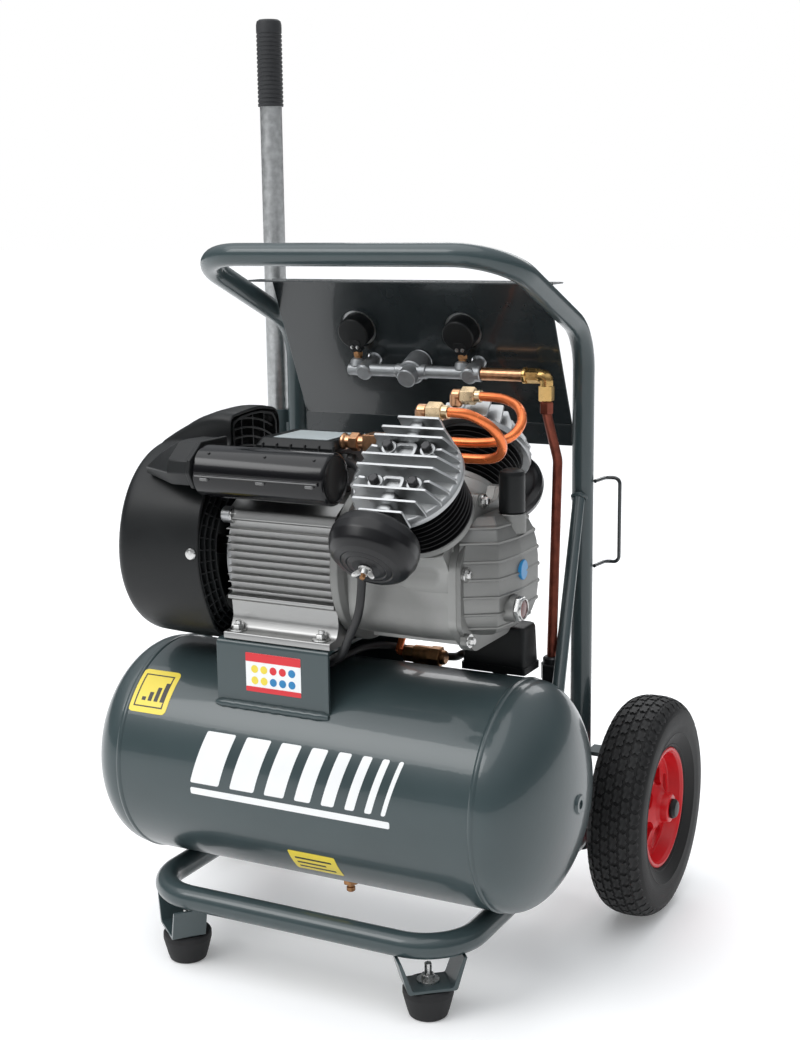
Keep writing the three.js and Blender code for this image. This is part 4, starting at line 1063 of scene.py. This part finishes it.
# The crankcase cover's height and its share of its full plan there.
COVER_LEVELS = [
    (396, 0.45), (402, 0.72), (412, 0.88), (424, 0.97), (438, 1), (470, 1), (486, 0.97), (500, 0.9),
    (512, 0.78), (520, 0.55),
]
JOINT_SCREWS = [(-62, 398), (-68.5, 467), (-27, 535), (27, 535), (68.5, 467), (62, 398)]


def cover_scale(height):
    """The cover's share of its full plan at a height between two of its levels."""
    for (z0, s0), (z1, s1) in zip(COVER_LEVELS, COVER_LEVELS[1:]):
        if height <= z1:
            return s0 + (s1 - s0) * (height - z0) / (z1 - z0)


def crankcase_cover():
    parts = [layers([(z, cover_plan(scale)) for z, scale in COVER_LEVELS])]
    for z in (409, 425, 443, 461, 479, 497, 511):
        rib = ((-2.2, -1), (-0.9, 1.3), (0.9, 1.3), (2.2, -1))
        parts.append(layers([(z + offset, cover_plan(cover_scale(z), grow)) for offset, grow in rib]))
    glass_seat = lathe([(0, 200), (15, 200), (14, 223.2), (0, 223.2)], "x", SMOOTH)
    parts += [
        joint_flange(JOINT_X, JOINT_X + 5),
        glass_seat.shifted(0, *GLASS[1:]),
        rod((BREATHER_X, 0, 500), (BREATHER_X, 0, 520), 14.5, SMOOTH, 0.8),
    ]
    parts += [rod((JOINT_X, y, z), (JOINT_X + 8.1, y, z), 7.2, ROUND, 1) for y, z in JOINT_SCREWS]
    return together(*parts)


def sight_ring():
    outer = lathe([(10.4, 0), (13.6, 0), (13.6, 3.6), (12.6, 5), (10.4, 5), (10.4, 0)], "x", HEX)
    return outer + lathe([(9.4, 0), (11.2, 0), (11.2, 6.4), (10.4, 7), (9.4, 6.4), (9.4, 0)], "x", SMOOTH)


def breather():
    profile = [(0, 520.3), (12, 520.3, 0.5), (13.4, 522, 1), (13.4, 559, 1.2), (12.6, 563, 1.5),
               (8, 565.2, 3), (0, 566.5)]
    return turned(profile, sides=SMOOTH).shifted(BREATHER_X, 0, 0)


piece("crank_case", crankcase(), CASE, replaces="crankcase", bevel=1.2, smooth=40)
piece("case_cover", crankcase_cover(), CASE, replaces="crankcase_cover", bevel=0.7, smooth=26)
case_bolts = [hex_bolt((JOINT_X + 8, y, z), (1, 0, 0), 8, 4.5) for y, z in JOINT_SCREWS]
piece("case_bolts", together(*case_bolts), BOLT, bevel=0.2)
window = lathe([(0, 0), (9.2, 0), (9.2, 5.4), (7, 6), (0, 6.2)], "x", SMOOTH)
piece("oil_window", window.shifted(*GLASS), SIGHT, replaces="sight_glass")
piece("oil_window_ring", sight_ring().shifted(*GLASS), BOLT, bevel=0.3)
disc = lathe([(0, -9), (10.4, -9), (10.4, 1.4), (9.8, 2), (0, 2)], "x", SMOOTH).spun(4, "Z")
piece("case_disc", disc.shifted(219.6, -5, 463), BLUE)
piece("breather", breather(), PLASTIC, "filler_cap", "oil_filler_cap")


# ---------- cylinder banks ----------
def barrel():
    low, high = BANK_SEAT + 0.3, HEAD_BASE - 0.3
    profile = [(24, low), (40, low)]
    fins = 8
    for i in range(fins):
        z = low + 10 + (high - low - 14) / fins * i
        profile += [(40, z), (48.5, z + 0.9), (49, z + 1.4), (48.5, z + 1.9), (40, z + 2.8)]
    profile += [(40, high - 4), (50, high - 3.4), (50, high), (24, high), (24, low)]
    return lathe(profile, sides=80)


def barrel_foot():
    low = BANK_SEAT + 0.3
    ring = [(40.3, low), (46, low), (47, low + 1), (47, low + 7), (46, low + 8), (40.3, low + 8), (40.3, low)]
    return lathe(ring, sides=80)


# Fins of a head: place up the head, then how far they reach left and right at the tip.
HEAD_FINS = [
    (56, -21, 25), (43.5, -34, 34.5), (33, -39, 36), (10, -44, 38), (-3, -45, 38), (-29, -39.5, 39),
    (-43, -35, 34), (-56, -23.5, 24),
]
HEAD_R, FIN_HALF = 58.0, 1.4
HEAD_BOLTS = [(-21, 23), (21, 23), (-21, -18.6), (21, -18.6)]


def head_reach(v):
    return math.sqrt(HEAD_R**2 - v**2)


def head_fin(v, left, right):
    """One upright fin: as wide as the base disc at its foot, and cut back at its tip."""
    low, high = HEAD_BASE + 5, HEAD_BASE + 30.5
    reach = head_reach(v) - 1.5
    left_foot, right_foot = min(-reach, left), max(reach, right)
    side = [(left_foot, low), (left_foot, low + 3, 1), (left, low + 16, 3), (left, high, 1.5),
            (right, high, 2.5), (right_foot, low + 8, 3), (right_foot, low)]
    return upright(soft_outline(side, 0, 3), v - FIN_HALF, v + FIN_HALF)


def short_fin(v, s):
    """A fin outside the bolts, on the left or the right."""
    inner, reach = 31, head_reach(v) - 2
    low, high = HEAD_BASE + 5, HEAD_BASE + 28
    side = [(inner, low), (inner, high - 1, 2), (inner + 7, high, 2), (reach, low + 8, 3), (reach, low)]
    side = [(s * point[0], *point[1:]) for point in side]
    return upright(soft_outline(side, 0, 3), v - FIN_HALF, v + FIN_HALF)


def head_pad(v):
    """A flat ring with a sunk middle, between two bolts."""
    dent = rectangle(-9.5, 7.5, -4.5, 4.5, 3)
    ring = band(rectangle(-13, 11, -8, 8, 5), dent, 155, 172)
    ring = Shell([(p.y, p.z, p.x) for p in ring.points], ring.faces)
    return (ring + prism(dent, 155, 167)).shifted(-3, v, 0)


def head():
    low = HEAD_BASE
    base = [(0, low), (HEAD_R - 1, low, 0.8), (HEAD_R, low + 1, 0.8), (HEAD_R, low + 6, 2),
            (HEAD_R - 4, low + 9.5, 3), (0, low + 9.5)]
    boss = lathe([(0, 152), (9.6, 152), (8.4, 173), (7.6, 174), (0, 174)], sides=ROUND)
    bump = lathe([(0, 152), (9.4, 152), (8.4, 171), (7, 174), (4, 175.4), (0, 175.8)], sides=ROUND)
    return together(
        turned(base, "z", 96, 3),
        *[head_fin(*fin) for fin in HEAD_FINS],
        *[short_fin(v, s) for v in (21, -17) for s in (-1, 1)],
        *[boss.shifted(x, v, 0) for x, v in HEAD_BOLTS],
        *[bump.shifted(-1, v, 0) for v in (49.5, 38.2, -36, -49.5)],
        *[head_pad(v) for v in (22.5, -17.5)],
    )


def intake_filter():
    profile = [
        (0, 52.5), (13, 52.5), (13, 66, 3), (30, 67, 8), (41, 73, 9), (44.2, 84, 6), (44, 93, 7),
        (39.5, 104, 10), (33, 108.5, 3), (26.5, 110.3, 0.6), (25.3, 109.3, 0.5), (24, 110, 0.5),
        (20.4, 111.2, 0.5), (19.2, 110.3, 0.5), (18, 111, 0.5), (14, 111.8, 1), (0, 112),
    ]
    return turned(profile, "z", 96, 5)


def wing_nut():
    ear = [(2.5, 114.3), (7.5, 114.3), (12, 119.5), (11, 122.4), (7.5, 121.4), (2.5, 117.5)]
    wings = [upright(soft_outline([(s * x, z) for x, z in ear], 1.4), -1.2, 1.2) for s in (-1, 1)]
    hub = lathe([(0, 112.3), (7, 112.3), (7, 113.4), (4.6, 114), (4, 119), (0, 119)], sides=ROUND)
    return together(hub, *wings)


def filter_place(bank):
    """Where a filter's own frame sits: Z away from the head, on its low side."""
    low_side = 90 if bank == "front" else -90
    turn = Matrix.Rotation(math.radians(low_side), 4, "X")
    return bank_place(bank) @ Matrix.Translation((0, 0, HEAD_BASE + 15)) @ turn


for bank in BANK_X:
    place, intake = bank_place(bank), filter_place(bank)
    piece(f"barrel_{bank}", barrel().moved(place), IRON, replaces=f"cylinder_{bank}", bevel=0.2)
    piece(f"barrel_foot_{bank}", barrel_foot().moved(place), CASE)
    facing = place @ Matrix.Scale(1 if bank == "front" else -1, 4, (0, 1, 0))
    bolts = [hex_bolt((x, v, 174), (0, 0, 1), 9.5, 7, washer=0) for x, v in HEAD_BOLTS]
    piece(f"head_fins_{bank}", head().moved(facing), CAST, replaces=f"head_{bank}", bevel=0.5, smooth=40)
    piece(f"head_bolts_{bank}", together(*bolts).moved(facing), DARK_BOLT, bevel=0.3)
    dome = intake_filter().moved(intake)
    piece(f"intake_filter_{bank}", dome, SATIN, replaces=f"filter_{bank}")
    nut = wing_nut().moved(intake)
    piece(f"filter_nut_{bank}", nut, BOLT, f"nut_{bank}", f"wing_nut_{bank}", bevel=0.3)
    stud = lathe([(0, 118), (2.6, 118), (2.6, 122.6), (2, 123.4), (0, 123.4)], sides=SMALL)
    piece(f"filter_stud_{bank}", stud.moved(intake), BRONZE)


# ---------- air pipes ----------
def compression_nut(start, end, across):
    """A hexagon nut with a rounded collar, between two points."""
    length = (Vector(end) - Vector(start)).length
    corner, flat = across / 2 / math.cos(math.pi / 6), length * 0.7
    nut = [(0, 0), (corner - 1, 0), (corner, 1), (corner, length * 0.62), (corner - 1, flat), (0, flat)]
    collar = [(0, length * 0.6), (across * 0.4, length * 0.6), (across * 0.4, length - 0.8),
              (across * 0.36, length), (0, length)]
    return (lathe(nut, sides=HEX) + lathe(collar, sides=ROUND)).moved(aim(start, end))


def delivery_tee():
    return together(
        brick((40, -13, -10), (58, 13, 10)),
        rod((56, -8, -5), (66, -8, -5), 7.5, HEX, 0.8),
        rod((56, 8, 5), (66, 8, 5), 7.5, HEX, 0.8),
        rod((12, 0, 0), (41, 0, 0), 7, ROUND, 0.8),
        rod((20, 0, 0), (30, 0, 0), 10, HEX, 0.8),
        rod((8, 0, 0), (16, 0, 0), 9, ROUND, 3),
        rod((49, 12, 0), (49, 15.2, 0), 7),
    ).shifted(0, 0, TEE_Z)


def check_valve():
    inlet = lathe([(0, 0), (8.4, 0), (9.6, 1), (9.6, 12), (8.4, 13), (0, 13)], "x", HEX)
    outlet = lathe([(0, 0), (10.6, 0), (12, 1.2), (12, 13), (10.6, 14), (0, 14)], "x", HEX)
    return together(
        inlet.shifted(53, 0, 0),
        rod((64, 0, 0), (86, 0, 0), 10.5, ROUND, 1.5),
        outlet.shifted(84, 0, 0),
        rod((97, 0, 0), (103.5, 0, 0), 8, ROUND, 1.5),
        rod((VALVE_X, 0, -13), (VALVE_X, 0, 2), 10, HEX, 0.8),
        rod((VALVE_X, 0, -19), (VALVE_X, 0, -10), 7.5),
    ).shifted(0, VALVE_Y, VALVE_Z)


def feed_union():
    nut = lathe([(0, 316), (11.6, 316), (13, 317.2), (13, 334), (11.6, 335.4), (0, 335.4)], sides=HEX)
    collar = lathe([(0, 334), (10, 334), (10, 341), (8, 343), (0, 343)], sides=ROUND)
    return (nut + collar).shifted(FEED_X, FEED_Y, 0)


PIPES = {
    "delivery_pipe_front": [
        (150, -70, 629), (168, -70, 629), (188, -62, 626), (204, -46, 612), (207, -28, 593), (194, -14, 578),
        (165, -8, 574), (110, -8, 576), (60.3, -8, 578),
    ],
    "delivery_pipe_rear": [
        (122, 68, 629), (144, 66, 629), (170, 60, 628), (192, 48, 621), (201, 34, 607), (193, 18, 593),
        (165, 10, 588), (110, 8, 588), (60.3, 8, 588),
    ],
}
TANK_PIPE = [(49, 15.3, TEE_Z), (49, 60, 580), (28, 106, 556), (28, 106, 430), (44, 106, 400), (44, 66, 355),
             (44, VALVE_Y, VALVE_Z), (52.7, VALVE_Y, VALVE_Z)]
FEED_PIPE = [(FEED_X, FEED_Y, 324), (FEED_X, FEED_Y, 352), (187, 170, 549), (RISER_X, RISER_Y, 600),
             (RISER_X, RISER_Y, 611.7)]
for name, points in PIPES.items():
    piece(f"{name}_tube", sweep(flow(points, 12), 5, 28), COPPER, replaces=name)
    start = Vector(points[0]) - Vector((4, 0, 0))
    piece(f"{name}_nut", compression_nut(start, start + Vector((23, 0, 0)), 17), PALE_BRASS, bevel=0.3)
    fitting = rod((-12, 0, 0), (1, 0, 0), 7, ROUND, 2.4) + rod((-7, 0, 3), (-7, 0, -13), 7, ROUND, 2.4)
    piece(f"{name}_elbow", fitting.shifted(*start), ROSE_BRASS, bevel=0.3)
piece("air_tee", delivery_tee(), ROSE_BRASS, replaces="delivery_tee", bevel=0.5)
piece("tank_pipe", sweep(bend(TANK_PIPE, 12, 6), 4), COPPER, replaces="delivery_pipe_tank")
piece("non_return_valve", check_valve(), BRONZE, replaces="check_valve", bevel=0.4)
feed_nut = rod((RISER_X, RISER_Y, 598), (RISER_X, RISER_Y, 611.6), 8, HEX, 0.8)
feed = sweep(bend(FEED_PIPE, 30), 5.4, 28) + feed_nut
piece("feed_pipe", feed, OLD_COPPER, replaces="panel_feed_pipe", bevel=0.3)
piece("feed_union", feed_union(), DARK_BOLT, bevel=0.4)

# ---------- control panel ----------
# Its fittings are drawn in the panel's own frame: X along it, Y down its face, Z out of its front.
PANEL_PLACE = Matrix.Translation((0, PANEL_Y, PANEL_Z)) @ Matrix.Rotation(-PANEL_LEAN, 4, "X")


def on_panel(shell, x=0.0, down=0.0):
    return shell.shifted(x, down, 0).moved(PANEL_PLACE)


def panel_sheet():
    face = brick((-PANEL_HALF, 0, 0), (PANEL_HALF, PANEL_LENGTH, 2))
    holes = [rod((-1, RAIL_DOWN, -9), (-1, RAIL_DOWN, 9), 14.5, SMOOTH, 0)]
    holes += [rod((x, GAUGE_DOWN, -9), (x, GAUGE_DOWN, 9), 22.6, FINE, 0) for x in GAUGE_X.values()]
    holes += [rod((x, RAIL_DOWN, -9), (x, RAIL_DOWN, 9), 9.5, SMOOTH, 0) for x in OUTLET_X.values()]
    fold_z = PANEL_Z - PANEL_LENGTH * math.sin(PANEL_LEAN)
    return together(
        on_panel(carved(face, together(*holes))),
        brick((-194, 136, PANEL_Z - 2), (194, PANEL_Y + 2, PANEL_Z)),
        brick((-PANEL_HALF, 239, 555), (PANEL_HALF, 241, fold_z + 2)),
    )


def manifold():
    def stub(x, low, high, radius, sides, soft):
        return rod((x, 0, low), (x, 0, high), radius, sides, soft)

    def along(left, right, radius, soft):
        return rod((left, 0, RAIL_OUT), (right, 0, RAIL_OUT), radius, ROUND, soft)

    parts = [
        along(-84, 88, 7.2, 1),
        stub(-1, -43, RAIL_OUT + 2, 11.5, 40, 1.2),
        stub(-1, RAIL_OUT - 4, -1, 15.5, SMOOTH, 1.5),
        stub(-1, -2, 9, 13, SMOOTH, 0.5),
        along(-22, 20, 8.6, 2),
    ]
    mouth = lathe([(5.4, 20), (7.6, 20), (7.6, 26), (5.4, 26), (5.4, 20)], sides=ROUND)
    for x in OUTLET_X.values():
        parts += [stub(x, RAIL_OUT, 20.5, 7.6, ROUND, 0.5), mouth.shifted(x, 0, 0)]
        parts.append(stub(x, RAIL_OUT - 9, RAIL_OUT + 9, 10, ROUND, 2))
    parts += [rod((x, 0, RAIL_OUT), (x, -10, RAIL_OUT + 8), 8.5, ROUND, 2.5) for x in GAUGE_X.values()]
    return on_panel(together(*parts, along(74, 88, 9.4, 1.2)), 0, RAIL_DOWN)


def gauge_case():
    profile = [(0, -16.5), (18, -16.5, 1.5), (19.6, -15, 1.5), (19.6, 2.3), (19.6, 6), (0, 6)]
    tab = soft_outline([(-8, 7), (8, 7), (7, 24), (-7, 24)], 5)
    return turned(profile) + prism(tab, -17.2, -8)


def gauge_bezel():
    return lathe([(18.8, 2.3), (26, 2.3), (26.4, 3), (26.4, 11), (25.6, 12), (23.6, 12), (23, 11), (23, 6.2),
                  (18.8, 6.2), (18.8, 2.3)])


def dial_marks():
    marks = []
    for i in range(21):
        length = 4.5 if i % 5 == 0 else 2.4
        mark = brick((-0.35, 20.6 - length, 6.4), (0.35, 20.6, 6.7))
        marks.append(mark.spun(315 - 13.5 * i, "Z"))
    return together(*marks)


def gauge_needle():
    hand = prism([(-1.1, -5), (1.1, -5), (0.4, 18.5), (-0.4, 18.5)], 7.6, 8.3)
    return (hand + rod((0, 0, 6.6), (0, 0, 9.4), 2.5, ROUND, 0.4)).spun(45, "Z")


def gauge_screws():
    screw = lathe([(0, -17), (2.4, -17), (2, -18.6), (0, -19.2)], sides=SMALL)
    return screw.shifted(-3.6, 16, 0) + screw.shifted(3.6, 16, 0)


def gauge_stem():
    return rod((0, 21, -12), (0, 35, -17), 4.6, ROUND, 0.4) + rod((0, 24, -13), (0, 29, -14.8), 6, HEX, 0.6)


def coupler():
    profile = [(8.2, 9), (11.6, 9), (12.2, 9.8)]
    for i in range(5):
        z = 10.5 + 2.3 * i
        profile += [(12.2, z), (11.7, z + 0.5), (11.7, z + 1.1), (12.2, z + 1.6)]
    return lathe(profile + [(12.2, 23), (11.4, 24), (8.2, 24), (8.2, 9)], sides=SMOOTH)


def regulator_knob():
    grip = turned([(0, 9.4), (15.8, 9.4), (15.8, 30, 2), (13.5, 35.6, 2), (0, 36)], sides=60)
    rib = rod((16, 0, 12), (15.8, 0, 29.5), 1.1, 10)
    return together(grip, *[rib.spun(15 * i, "Z") for i in range(24)])


def panel_elbow(y, z):
    """From the rail's height, where the manifold ends, down onto the feed pipe."""
    return together(
        rod((139.5, y, z), (144, y, z), 9.6, ROUND, 0.8),
        rod((143.5, y, z), (160, y, z), 8.6, HEX, 1),
        sweep(bend([(156, y, z), (RISER_X, y, z), (RISER_X, y, z - 12)], 6), 7.6, ROUND),
        rod((RISER_X, y, z - 10), (RISER_X, y, 612), 8.8, HEX, 1),
    )


piece("panel", panel_sheet(), SHEET, replaces="control_panel", bevel=0.5)
piece("manifold", manifold(), ZAMAK, replaces="air_manifold", bevel=0.4)
piece("regulator", on_panel(regulator_knob(), -1, RAIL_DOWN), PLASTIC, "regulator", "regulator_knob")
for side, x in GAUGE_X.items():
    at = (x, GAUGE_DOWN)
    case = on_panel(gauge_case(), *at)
    piece(f"dial_case_{side}", case, PLASTIC, replaces=f"gauge_{side}", bevel=0.5)
    piece(f"dial_bezel_{side}", on_panel(gauge_bezel(), *at), ZINC)
    piece(f"dial_face_{side}", on_panel(lathe([(0, 6), (22.9, 6), (22.9, 6.5), (0, 6.5)]), *at), WHITE)
    piece(f"dial_marks_{side}", on_panel(dial_marks(), *at), INK)
    needle = on_panel(gauge_needle(), *at)
    piece(f"dial_needle_{side}", needle, KNOB_RED, f"needle_{side}", f"gauge_needle_{side}")
    piece(f"dial_screws_{side}", on_panel(gauge_screws(), *at), BOLT)
    piece(f"dial_stem_{side}", on_panel(gauge_stem(), *at), BRONZE)
for side, x in OUTLET_X.items():
    sleeve = on_panel(coupler(), x, RAIL_DOWN)
    piece(f"coupler_{side}", sleeve, ZINC, f"sleeve_{side}", f"coupler_sleeve_{side}")

_, rail_y, rail_z = PANEL_PLACE @ Vector((0, RAIL_DOWN, RAIL_OUT))
piece("nipple", rod((88.4, rail_y, rail_z), (141, rail_y, rail_z), 7.4, ROUND, 0.6), ROSE_BRASS)
piece("elbow", panel_elbow(rail_y, rail_z), BRASS, replaces="panel_elbow", bevel=0.3)


# ---------- pressure switch ----------
def pressure_switch():
    levels = []
    for z, inset in ((340.5, 0), (380, 1.6), (383, 2.8), (384, 4.6)):
        levels.append((z, rectangle(124 + inset, 197 - inset, 52 + inset, 92 - inset, 5)))
    base = prism(rectangle(123, 198, 51, 93, 3), 332.5, 340.5)
    stem = rod((SWITCH_X, SWITCH_Y, 313), (SWITCH_X, SWITCH_Y, 334), 8, ROUND, 0.4)
    return together(base, layers(levels), stem)


piece("switch_box", pressure_switch(), PLASTIC, replaces="pressure_switch", bevel=0.6)
button = [(0, 384.3), (9, 384.3), (8.4, 386), (8.2, 393), (9.6, 395.4), (11, 397), (11, 401), (10, 402),
          (0, 402)]
knob = lathe(button, sides=40).shifted(SWITCH_X, SWITCH_Y + 7, 0)
piece("switch_button", knob, KNOB_RED, "switch_knob", "pressure_switch_knob")

# ---------- pieces kept from the CAD ----------
KEPT = {
    "rotor": STEEL, "crankshaft": STEEL, "stator": WINDING, "piston_front": TURNED, "piston_rear": TURNED,
    "conrod_front": CAST, "conrod_rear": CAST,
}
for name, material in KEPT.items():
    node = frame["nodes"][name]
    node.data.materials.clear()
    node.data.materials.append(material)


# ---------- floor, light and camera ----------
def floor():
    size = 30.0
    mesh = bpy.data.meshes.new("floor")
    corners = [(-size, -size, 0), (size, -size, 0), (size, size, 0), (-size, size, 0)]
    mesh.from_pydata(corners, [], [(0, 1, 2, 3)])
    pale = bpy.data.materials.new("floor")
    pale.use_nodes = True
    put(pale.node_tree, pale.node_tree.nodes["Principled BSDF"], {
        "Base Color": (0.92, 0.92, 0.92, 1), "Roughness": 0.6, "Emission Color": (1, 1, 1, 1),
        "Emission Strength": 0.16,
    })
    mesh.materials.append(pale)
    new_object("floor", mesh)


def world():
    """White where the camera sees it, and brighter overhead than at the sides where it lights."""
    sky = bpy.data.worlds.new("studio")
    sky.use_nodes = True
    tree = sky.node_tree
    tree.nodes.clear()
    direction = make(tree, "TexCoord").outputs["Generated"]
    height = make(tree, "SeparateXYZ", {"Vector": direction}).outputs["Z"]
    limits = {"Value": height, "From Min": 0.05, "From Max": 0.9, "To Min": 0.07, "To Max": 0.9}
    strength = make(tree, "MapRange", limits, interpolation_type="SMOOTHSTEP").outputs["Result"]
    fill = make(tree, "Background", {"Color": (0.93, 0.96, 1, 1), "Strength": strength}).outputs["Background"]
    backdrop = make(tree, "Background", {"Color": (1, 1, 1, 1), "Strength": 1.0}).outputs["Background"]
    seen = make(tree, "LightPath").outputs["Is Camera Ray"]
    mix = make(tree, "MixShader", {"Fac": seen, 1: fill, 2: backdrop}).outputs["Shader"]
    make(tree, "OutputWorld", {"Surface": mix})
    bpy.context.scene.world = sky


def area_light(name, place, target, size, watts):
    data = bpy.data.lights.new(name, "AREA")
    data.shape = "RECTANGLE"
    data.size, data.size_y = size
    data.energy = watts
    light = new_object(name, data)
    light.location = place
    light.rotation_euler = (Vector(target) - Vector(place)).to_track_quat("-Z", "Y").to_euler()


def sky_light(strength):
    """A very soft light from overhead, even over the whole floor."""
    data = bpy.data.lights.new("overhead", "SUN")
    data.energy = strength
    data.angle = math.radians(70)
    new_object("overhead", data).rotation_euler = (math.radians(18), math.radians(-12), 0)


def camera():
    """The photo's angle: from the front right and a little above, slightly rolled."""
    yaw, pitch, roll = math.radians(27.47), math.radians(10.80), math.radians(-0.71)
    forward = Vector((-math.sin(yaw) * math.cos(pitch), math.cos(yaw) * math.cos(pitch), -math.sin(pitch)))
    right = Vector((math.cos(yaw), math.sin(yaw), 0))
    up = right.cross(forward)
    across = math.cos(roll) * right + math.sin(roll) * up
    above = -math.sin(roll) * right + math.cos(roll) * up
    data = bpy.data.cameras.new("camera")
    data.sensor_width = 36
    data.lens = 55.92
    turn = Matrix((across, above, -forward)).transposed().to_4x4()
    spot = Vector((849.68, -1486.46, 822.05)) * MM + Vector((0, AXIS_Y, 0))
    view = new_object("camera", data)
    view.matrix_world = Matrix.Translation(spot) @ turn
    bpy.context.scene.camera = view


floor()
world()
sky_light(1.5)
area_light("key", (-1.6, -2.4, 2.7), (0, 0, 0.5), (2.0, 1.4), 34)
area_light("back", (-0.4, 2.6, 2.2), (0, 0, 0.6), (2.4, 1.2), 24)
camera()
bpy.context.scene.view_settings.view_transform = "Standard"
